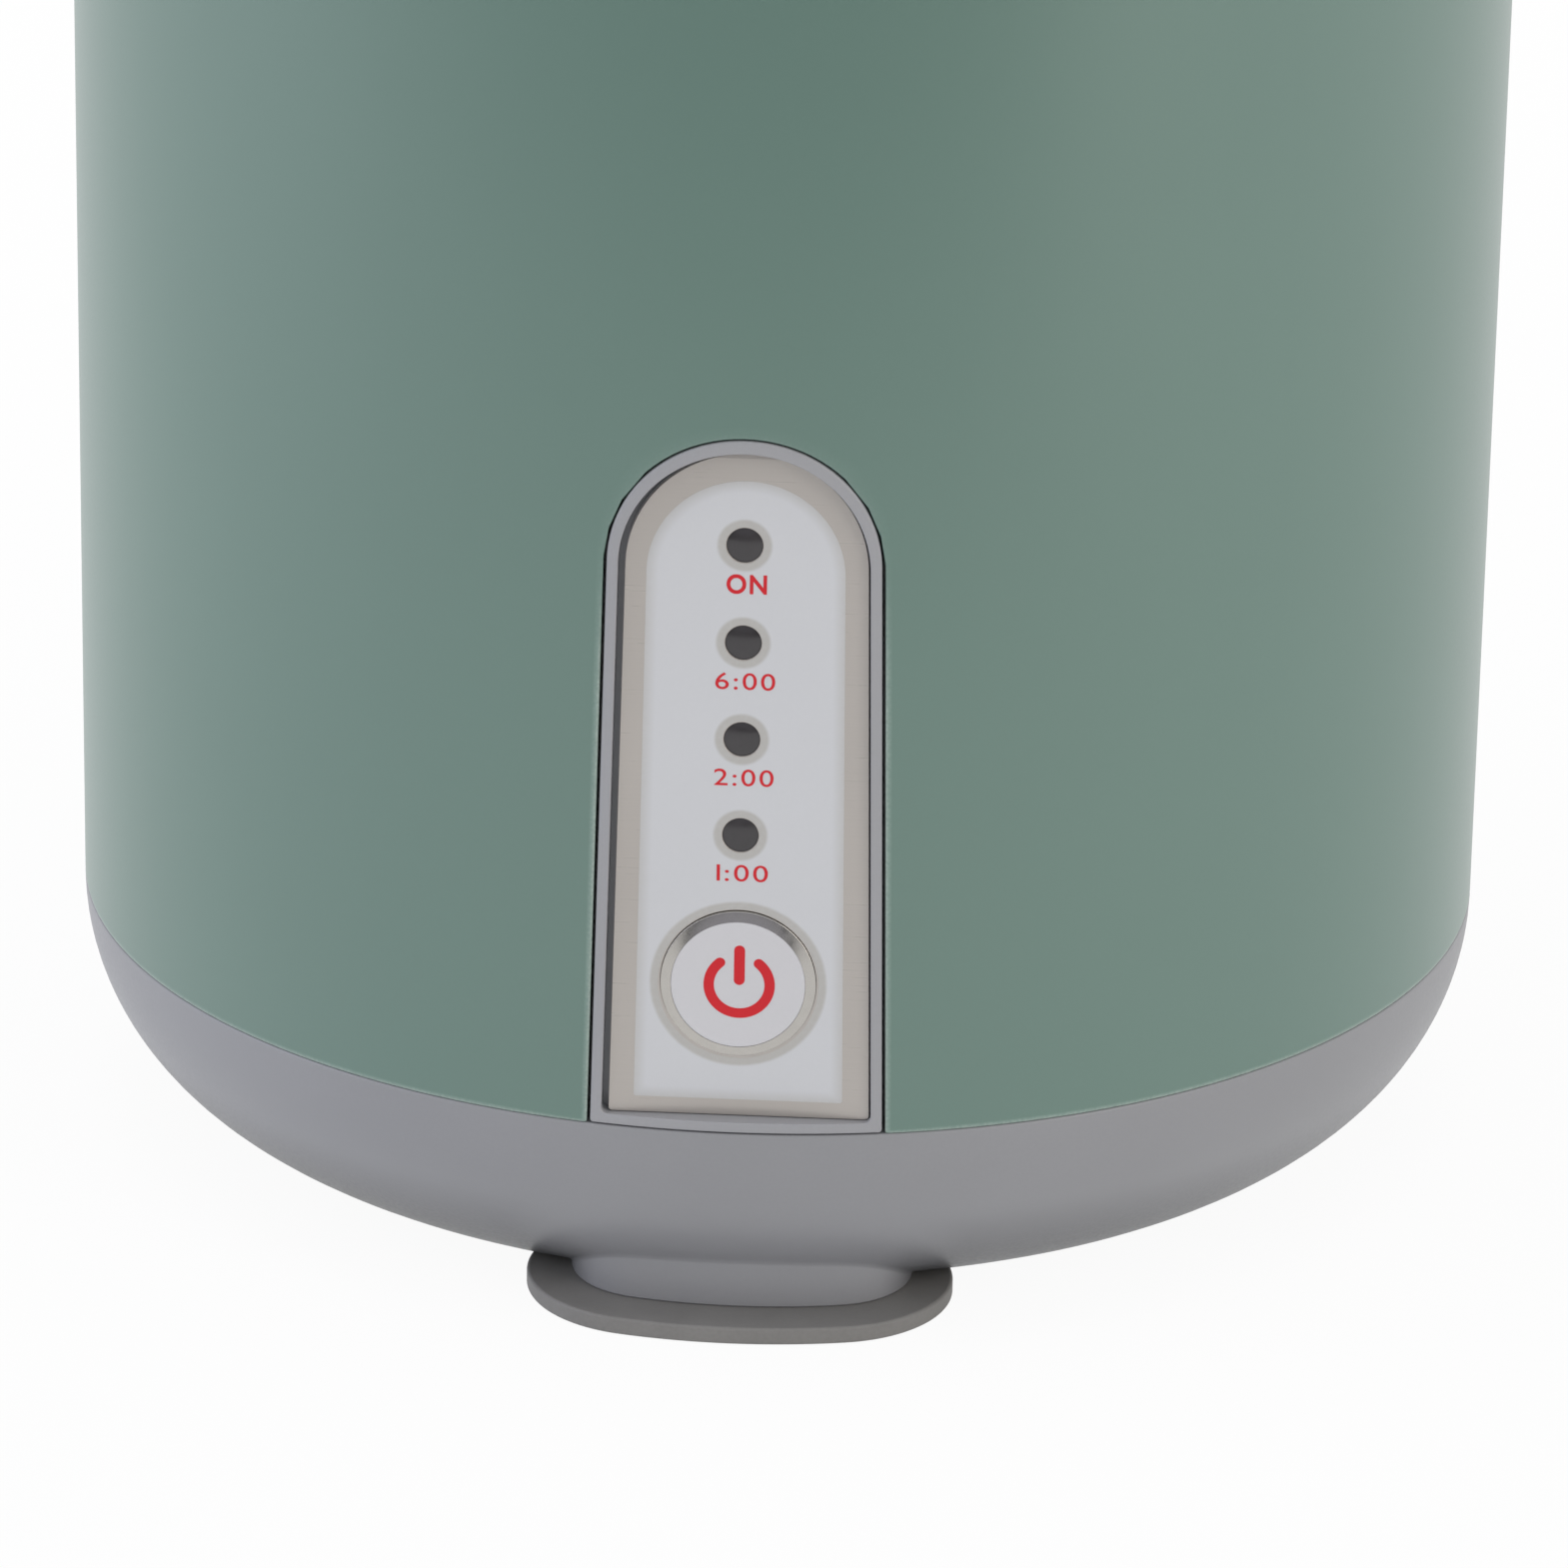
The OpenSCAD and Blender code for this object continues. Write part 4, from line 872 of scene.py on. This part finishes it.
# %% The steel plate
PLATE_CORNER = 0.32
PLATE_EDGE = 0.06
PLATE_DROP = 0.27
PLATE_SINK = 0.11
plate_inset = BEZEL_FACE + PLATE_GAP
lens_low, lens_high = corners("indicator_lenses")
LENSES = 4
LENS_R = 1.44
LENS_HOLE = 1.455
RING_OUT = 6.295
RING_IN = 5.43
BUTTON_HOLE = 6.3
HOLE_RISE = 0.09
HOLE_POINTS = 48
RING_POINTS = 96
lens_flange_r = (lens_high[0] - lens_low[0]) / 2
lens_zs = np.linspace(lens_low[2] + lens_flange_r, lens_high[2] - lens_flange_r, LENSES)


def plate_loops(edge):
    """The plate's outline drawn in and its holes widened by edge."""
    outline = panel_outline(plate_inset + edge, plate_low[2] - PLATE_SINK + edge,
                            PLATE_CORNER - edge, PLATE_SHIFT, PLATE_DROP)
    return [outline, *[circle(z, LENS_HOLE + edge, HOLE_POINTS) for z in lens_zs],
            circle(button_z + HOLE_RISE, BUTTON_HOLE + edge, RING_POINTS)]


edge_steps = arc(PLATE_EDGE, plate_y + PLATE_EDGE, PLATE_EDGE, 180, 270, 4)
plate_levels = [(plate_loops(edge), y) for edge, y in [(0, plate_back), *edge_steps]]
make_piece("steel_plate", *stack(plate_levels), brushed_steel, "brushed_plate", ["panel_plate"],
           crease=50)

# %% The white print
INK = 0.02
PRINT_R = 7.88
PRINT_SHIFT = 0.12
PRINT_SPRING = 67.0
PRINT_LEAN = 0.7
PRINT_BOTTOM = 21.95
PRINT_CORNER = 0.2
PRINT_FADE = 0.95
HOLE_FADE = 0.26
LENS_BARE = 2.02
RING_BARE = 6.97
PRIMER_GAP = 0.08
EDGE_THIN = 0.6
THIN_DEPTH = 0.7
PRINT_POINTS = 64


def print_loops(inset, lens_r, ring_r):
    """The print's outline drawn in by inset, and its holes of the two given radii."""
    outline = arch(PRINT_R - inset, PRINT_SPRING, PRINT_LEAN, PRINT_BOTTOM + inset, PRINT_CORNER,
                   PRINT_SHIFT)
    return [outline, *[circle(z, lens_r, PRINT_POINTS) for z in lens_zs],
            circle(button_z, ring_r, RING_POINTS)]


primer_loops = print_loops(0, LENS_HOLE + PRIMER_GAP, BUTTON_HOLE + HOLE_RISE + PRIMER_GAP)
thin_loops = print_loops(INK, LENS_BARE, RING_BARE)
white_loops = print_loops(PRINT_FADE, LENS_BARE + HOLE_FADE, RING_BARE + HOLE_FADE)
ink_levels = [(primer_loops, plate_y + INK), (primer_loops, plate_y - INK / 2),
              (thin_loops, plate_y - INK * THIN_DEPTH), (white_loops, plate_y - INK)]
ink_points, ink_faces = stack(ink_levels)
ink_wear = np.zeros((len(ink_levels), len(ink_points) // len(ink_levels)))
ink_wear[:-1] = 1
ink_wear[:-1, : len(white_loops[0])] = EDGE_THIN
ink_wear = ink_wear.ravel()
make_piece("white_print", ink_points, ink_faces, white_ink, "white_abs", wear_and_shade=ink_wear)

# %% [markdown]
# ## Windows, ring and button
# These are turned about an axis through the panel: a slightly domed window, a polished ring
# whose face rises to the button from a rounded rim, and the white button with a rounded edge.
# The ring rests on the lower edge of its hole, so the gap shows only above it.

# %% Windows, ring and button
LENS_SINK = 0.12
LENS_DOME = 0.16
LENS_FLANGE_T = 0.5
CAP_R = 5.415
CAP_ROUND = 0.05
CAP_FLANGE = 1.0
RING_RIM = 0.11
DOME_ROWS = 9
LENS_POINTS = 64
TURN_POINTS = 128
dome = np.linspace(0, 1, DOME_ROWS)
lens_profile = np.vstack([
    np.column_stack([LENS_R * dome, plate_y + LENS_SINK - LENS_DOME * (1 - dome**2)]),
    [[LENS_R, lens_high[1] - LENS_FLANGE_T], [lens_flange_r, lens_high[1] - LENS_FLANGE_T],
     [lens_flange_r, lens_high[1]], [0, lens_high[1]]],
])
lens_points, lens_faces = zip(*[turn_about_y(lens_profile, z, LENS_POINTS) for z in lens_zs])
lens_faces = np.vstack([faces + n * len(lens_points[0]) for n, faces in enumerate(lens_faces)])
make_piece("smoked_windows", np.vstack(lens_points), lens_faces, smoked_acrylic, "smoked_lens",
           ["indicator_lenses"])

ring_low, ring_high = corners("button_ring")
ring_back = ring_high[1]
ring_profile = np.vstack([
    [[RING_OUT, ring_back]],
    arc(RING_OUT - RING_RIM, plate_y + RING_RIM, RING_RIM, 0, -90, ROUND_ROWS),
    [[RING_IN, ring_low[1]], [RING_IN, ring_back], [RING_OUT, ring_back]],
])
make_piece("polished_ring", *turn_about_y(ring_profile, button_z, TURN_POINTS), polished_ring,
           "polished_ring", ["button_ring"])

cap_flange_r = (button_high[0] - button_low[0]) / 2
cap_front, cap_back = button_low[1], button_high[1]
cap_profile = np.vstack([
    [[0, cap_front]],
    arc(CAP_R - CAP_ROUND, cap_front + CAP_ROUND, CAP_ROUND, -90, 0, ROUND_ROWS),
    [[CAP_R, cap_back - CAP_FLANGE], [cap_flange_r, cap_back - CAP_FLANGE],
     [cap_flange_r, cap_back], [0, cap_back]],
])
make_piece("white_button", *turn_about_y(cap_profile, button_z, TURN_POINTS), white_abs,
           "white_abs", ["button_cap"], body="button")

# %% [markdown]
# ## Signs
# The power sign on the button is the common one of a broken circle and a bar. Under the windows
# stand a plain ON and plain minutes, as on any timer. Text becomes a mesh first, and its points
# are then scaled to a measured width and height and laid on the print.

# %% Signs
SIGN_R = 2.87
SIGN_STROKE = 0.83
SIGN_GAP = 39.5
SIGN_BAR = 0.87
SIGN_TOP = 3.42
SIGN_SHIFT = 0.1
LEGEND_DROP = 3.25
LEGENDS = {"ON": (3.2, 1.65, 0.025), "6:00": (4.75, 1.42, 0.0), "2:00": (4.75, 1.42, 0.0),
           "1:00": (4.1, 1.42, 0.0)}
LETTER_SPACE = 1.15
LEADING_ONE = -14
END_POINTS = 13
ARC_POINTS = 72


def broken_ring(r, stroke, gap):
    """A ring with a gap about its top and round ends: the outer arc, an end, the inner arc back
    and the other end."""
    start, end = 90 + gap, 450 - gap
    ends = []
    for a, first in ((end, end), (start, start + 180)):
        [[x, z]] = arc(0, 0, r - stroke / 2, a, a, 1)
        ends.append(arc(x, z, stroke / 2, first, first + 180, END_POINTS)[1:-1])
    return np.vstack([arc(0, 0, r, start, end, ARC_POINTS), ends[0],
                      arc(0, 0, r - stroke, end, start, ARC_POINTS), ends[1]])


half_bar = SIGN_BAR / 2
bar = np.vstack([arc(0, half_bar, half_bar, 180, 360, END_POINTS),
                 arc(0, SIGN_TOP - half_bar, half_bar, 0, 180, END_POINTS)])
signs = {"power_ring": broken_ring(SIGN_R, SIGN_STROKE, SIGN_GAP), "power_bar": bar}
for name, loop in signs.items():
    loop = loop + [SIGN_SHIFT, button_z]
    sign = stack([([loop], cap_front + INK), ([loop], cap_front - INK)])
    make_piece(name, *sign, red_ink, "white_abs", body="button")


def legend(text, width, height, weight):
    """Points of x, y and z and faces of a text, scaled to a width and a height about its middle,
    with its letters standing along z. Weight is how far its strokes grow, as a share of its
    size."""
    curve = bpy.data.curves.new("legend", "FONT")
    curve.body = text
    if text.startswith("1"):
        curve.body_format[0].kerning = LEADING_ONE
    curve.space_character = LETTER_SPACE
    curve.offset = weight
    curve.extrude = 0.5
    sample = bpy.data.objects.new("legend", curve)
    mesh = sample.to_mesh()
    points = np.empty(3 * len(mesh.vertices))
    mesh.vertices.foreach_get("co", points)
    points = points.reshape(-1, 3)
    faces = [list(face.vertices) for face in mesh.polygons]
    sample.to_mesh_clear()
    bpy.data.objects.remove(sample)
    bpy.data.curves.remove(curve)
    low, high = points.min(0), points.max(0)
    points = (points - (low + high) / 2) / (high - low) * [width, height, 2 * INK]
    return points[:, [0, 2, 1]] * [1, -1, 1], faces


for n, (text, size) in enumerate(LEGENDS.items()):
    points, faces = legend(text, *size)
    points = points + [PLATE_SHIFT, plate_y - INK, lens_zs[-1 - n] - LEGEND_DROP]
    make_piece(f"legend_{n + 1}", points, faces, red_ink, "white_abs")

# %% [markdown]
# ## The collar and the liner
# The collar is one closed profile turned about the axis: a broad round outside, a small one at
# the mouth, and a lip that fits into the tube. The liner is turned too, and its wall has shallow
# grooves that let the air out when a bottle goes in.

# %% The collar
MOUTH_R = 45.05
COLLAR_ROUND = 9
MOUTH_ROUND = 3
COLLAR_WALL = 2.5
COLLAR_ROWS, MOUTH_ROWS = 19, 11
collar_in = MOUTH_R + COLLAR_WALL
round_z = body_h - COLLAR_ROUND
collar_lip = shell_top - LIP_H
collar_profile = np.vstack([
    [[MOUTH_R, shell_top], [collar_in, shell_top], [collar_in, round_z], [lip_in, round_z],
     [lip_in, collar_lip], [lip_r, collar_lip], [lip_r, shell_top]],
    arc(body_r - SEAM_ROUND, shell_top + SEAM_ROUND, SEAM_ROUND, -90, 0, SEAM_ROWS),
    arc(body_r - COLLAR_ROUND, round_z, COLLAR_ROUND, 0, 90, COLLAR_ROWS),
    arc(MOUTH_R + MOUTH_ROUND, body_h - MOUTH_ROUND, MOUTH_ROUND, 90, 180, MOUTH_ROWS),
    [[MOUTH_R, shell_top]],
])
make_piece("grey_collar", *revolve(collar_profile), grey_abs, "grey_abs", ["top_collar"])

# %% The liner
GROOVES = 24
GROOVE_DEPTH = 0.8
GROOVE_COLUMNS = 10
GROOVE_FADE = 2
GROOVE_POWER = 0.7
WALL_ROWS = 22
LINER_IN = 37.5
LINER_OUT = 40.9
LINER_FLOOR = 2.5
LINER_RIM = 1.5
RIM_OUT = 0.7
RIM_IN = 2.5
liner_low, liner_high = corners("grip_liner")
rim_r = liner_high[0]
liner_top = liner_high[2]
liner_floor = liner_low[2] + LINER_FLOOR
rim_low = liner_top - LINER_RIM
wall_zs = np.linspace(liner_top - RIM_IN, liner_floor + RIM_IN, WALL_ROWS + 2)[1:-1]
rim_rows = np.vstack([
    [[0, liner_low[2]], [LINER_OUT, liner_low[2]], [LINER_OUT, rim_low], [rim_r, rim_low]],
    arc(rim_r - RIM_OUT, liner_top - RIM_OUT, RIM_OUT, 0, 90, 6),
    arc(LINER_IN + RIM_IN, liner_top - RIM_IN, RIM_IN, 90, 180, 9),
])
liner_profile = np.vstack([
    rim_rows,
    np.column_stack([np.full(WALL_ROWS, LINER_IN), wall_zs]),
    arc(LINER_IN - RIM_IN, liner_floor + RIM_IN, RIM_IN, 0, -90, 9),
    [[0, liner_floor]],
])
wall = np.arange(WALL_ROWS)
groove_share = np.zeros(len(liner_profile))
groove_share[len(rim_rows) + wall] = np.clip(np.minimum(wall, wall[::-1]) / GROOVE_FADE, 0, 1)
liner_turns = np.arange(GROOVES * GROOVE_COLUMNS) * 360 / (GROOVES * GROOVE_COLUMNS)
groove = np.clip(np.cos(np.radians(liner_turns * GROOVES)), 0, 1) ** GROOVE_POWER
liner_r = liner_profile[:, :1] + groove_share[:, None] * groove[None, :] * GROOVE_DEPTH
liner_points = around(liner_turns[None, :], liner_r, liner_profile[:, 1:])
liner_faces = lattice(*liner_points.shape[:2], wrap_cols=True)
make_piece("soft_liner", liner_points.reshape(-1, 3), liner_faces, silicone, "silicone",
           ["grip_liner"], body="cup")

# %% [markdown]
# ## Finishes for the solids that stay
# The drive, the board, the inlet and the screws keep their solids, because their shapes are
# right. Each takes a finish by the record's name for it: machined and plated steel, turned
# brass, sintered bronze, moulded nylon, a lacquered board, and the sleeves of the leads. After
# the colour stand roughness, grain, bump, mottle and patch.

# %% Finishes for the solids that stay
kept_finishes = {
    "grey_abs": grey_abs,
    "green_abs": green_lacquer,
    "foot_rubber": pad_rubber,
    "brushed_plate": brushed_steel,
    "polished_ring": polished_ring,
    "smoked_lens": smoked_acrylic,
    "white_abs": white_abs,
    "silicone": silicone,
    "circuit_board": finish("lacquered_glass_epoxy", "#2f5a43", 0.4, 0.4, 0.004, 0.08, 3),
    "led_resin": finish("clear_epoxy_resin", "#d9d6cc", 0.2, 0.5, 0.0005, Transmission_Weight=0.4),
    "black_plastic": finish("black_moulded_nylon", "#232325", 0.5, 0.3, 0.003),
    "nylon": finish("natural_acetal", "#dedbd0", 0.42, 0.35, 0.002),
    "deck_plastic": finish("glass_filled_nylon", "#4a4d50", 0.55, 0.3, 0.004, 0.08, 6),
    "zinc_steel": finish("zinc_plated_steel", "#bcbfc2", 0.34, 0.2, 0.001, 0.08, 4, Metallic=1.0),
    "ground_steel": finish("ground_steel", "#b8b8ba", 0.24, 0.1, 0.001, stretch=(6, 6, 1),
                           Metallic=1.0),
    "brass": finish("turned_brass", "#c6a55c", 0.3, 0.12, 0.001, 0.06, Metallic=1.0),
    "bronze": finish("sintered_bronze", "#a4794e", 0.45, 0.15, 0.004, 0.12, 1.5, Metallic=1.0),
    "lead_black": finish("black_pvc_sleeve", "#222224", 0.45, 0.4, 0.002),
    "lead_red": finish("red_pvc_sleeve", "#a92a2a", 0.45, 0.4, 0.002),
}
for part in frame["record"]["subparts"]:
    node = bpy.data.objects[part["node"]]
    node.data.materials.clear()
    node.data.materials.append(kept_finishes[part["material_slot"]])
print("finishes on solids:", len(kept_finishes))

# %% [markdown]
# ## Floor, world and lights
# The picture has a white ground with hardly any shadow. The floor and the world are white to
# the camera and in reflections, and plain to everything else, so the ground stays white without
# more light on the object. Two tall soft boxes stand left and right, and a broad one hangs above.

# %% The floor and the world


def ray_kinds(tree):
    """One where a ray comes from the camera, a reflection or a see-through surface."""
    path = add(tree, "LightPath").outputs
    seen = path["Is Camera Ray"]
    for kind in ("Is Glossy Ray", "Is Transmission Ray"):
        seen = add(tree, "Math", {0: seen, 1: path[kind]}, operation="MAXIMUM").outputs[0]
    return seen


FLOOR_HALF = 8.0
SHADOW_SHARE = 0.06
SHADOW_NEAR, SHADOW_FAR = 0.1, 0.5
WORLD_LEVEL = 0.62
PAPER, PAPER_ROUGH = "#f4f4f4", 0.9
white = (1, 1, 1, 1)
floor_finish, tree = node_material("white_paper")
paper = tree.nodes["Principled BSDF"]
paper.inputs["Base Color"].default_value = linear(PAPER)
paper.inputs["Roughness"].default_value = PAPER_ROUGH
glow = add(tree, "Emission", {"Color": white, "Strength": 1.0})
where = add(tree, "TexCoord").outputs["Object"]
away = add(tree, "VectorMath", {0: where}, operation="LENGTH").outputs["Value"]
fade = {1: SHADOW_NEAR, 2: SHADOW_FAR, 3: 1 - SHADOW_SHARE, 4: 1.0}
even = add(tree, "MapRange", {0: away, **fade}).outputs[0]
lit = add(tree, "Math", {0: ray_kinds(tree), 1: even}, operation="MULTIPLY").outputs[0]
blend = add(tree, "MixShader", {0: lit, 1: paper.outputs[0], 2: glow.outputs[0]})
tree.links.new(blend.outputs[0], tree.nodes["Material Output"].inputs["Surface"])
square = np.array([[-1, -1, 0], [1, -1, 0], [1, 1, 0], [-1, 1, 0]]) * FLOOR_HALF
floor_mesh = bpy.data.meshes.new("paper_floor")
floor_mesh.from_pydata(square.tolist(), [], [[0, 1, 2, 3]])
floor_mesh.materials.append(floor_finish)
paper_floor = put("paper_floor", floor_mesh)

world = bpy.data.worlds.new("studio")
world.use_nodes = True
bpy.context.scene.world = world
tree = world.node_tree
level = add(tree, "MapRange", {0: ray_kinds(tree), 3: WORLD_LEVEL, 4: 1.0}).outputs[0]
tree.links.new(level, tree.nodes["Background"].inputs["Strength"])
tree.nodes["Background"].inputs["Color"].default_value = white
bpy.context.scene.view_settings.view_transform = "Standard"

# %% The lights
SOFT_BOXES = {
    "left_box": ((-0.83, -0.12, 0.28), (0.6, 0.9), 3.0, "#e8eaff"),
    "right_box": ((0.64, -0.50, 0.24), (0.3, 0.8), 1.9, "#fff6ee"),
    "top_box": ((0.0, 0.05, 0.95), (0.7, 0.7), 2.2, "#ffffff"),
}
AIM = np.array([0, 0, 0.06])
STEEP = 0.95


def facing(place, towards):
    """A matrix whose minus z axis points from a place to another, with z up where it can."""
    back = (place - towards) / np.linalg.norm(place - towards)
    side = np.cross([0, 1, 0] if abs(back[2]) > STEEP else [0, 0, 1], back)
    side = side / np.linalg.norm(side)
    matrix = np.eye(4)
    matrix[:3, :3] = np.column_stack([side, np.cross(back, side), back])
    matrix[:3, 3] = place
    return Matrix(matrix)


for name, (position, size, power, colour) in SOFT_BOXES.items():
    lamp = bpy.data.lights.new(name, "AREA")
    lamp.shape = "RECTANGLE"
    lamp.size, lamp.size_y = size
    lamp.energy = power
    lamp.color = linear(colour)[:3]
    box = put(name, lamp)
    box.matrix_world = facing(np.array(position), AIM)
    box.visible_camera = False
print("lights:", ", ".join(SOFT_BOXES))

# %% [markdown]
# ## A dark card in front
# In a studio the white table ends somewhere, and glossy things show the dark room beyond it.
# A card lies dark in front of the table's edge and stands up grey behind the camera. Only
# reflections see it, so it darkens the upper front of the tube and the top of the polished ring.

# %% A dark card in front
CARD_EDGE = -0.34
CARD_BACK = -1.3
CARD_HALF = 1.5
CARD_TOP = 1.0
CARDS = {"dark_floor_card": ("#ffffff", 0.08), "grey_wall_card": ("#f2f2ff", 0.5)}
card_points = [[side * CARD_HALF, y, z] for side, y, z in (
    (-1, CARD_EDGE, MM), (1, CARD_EDGE, MM), (1, CARD_BACK, MM), (-1, CARD_BACK, MM),
    (1, CARD_BACK, CARD_TOP), (-1, CARD_BACK, CARD_TOP))]
card_mesh = bpy.data.meshes.new("dark_card")
card_mesh.from_pydata(card_points, [], [[0, 1, 2, 3], [3, 2, 4, 5]])
for name, (colour, strength) in CARDS.items():
    card_finish, tree = node_material(name)
    dim = add(tree, "Emission", {"Color": linear(colour), "Strength": strength})
    tree.links.new(dim.outputs[0], tree.nodes["Material Output"].inputs["Surface"])
    card_mesh.materials.append(card_finish)
card_mesh.polygons.foreach_set("material_index", [0, 1])
dark_card = put("dark_card", card_mesh)
for ray in ("camera", "diffuse", "transmission", "shadow"):
    setattr(dark_card, f"visible_{ray}", False)
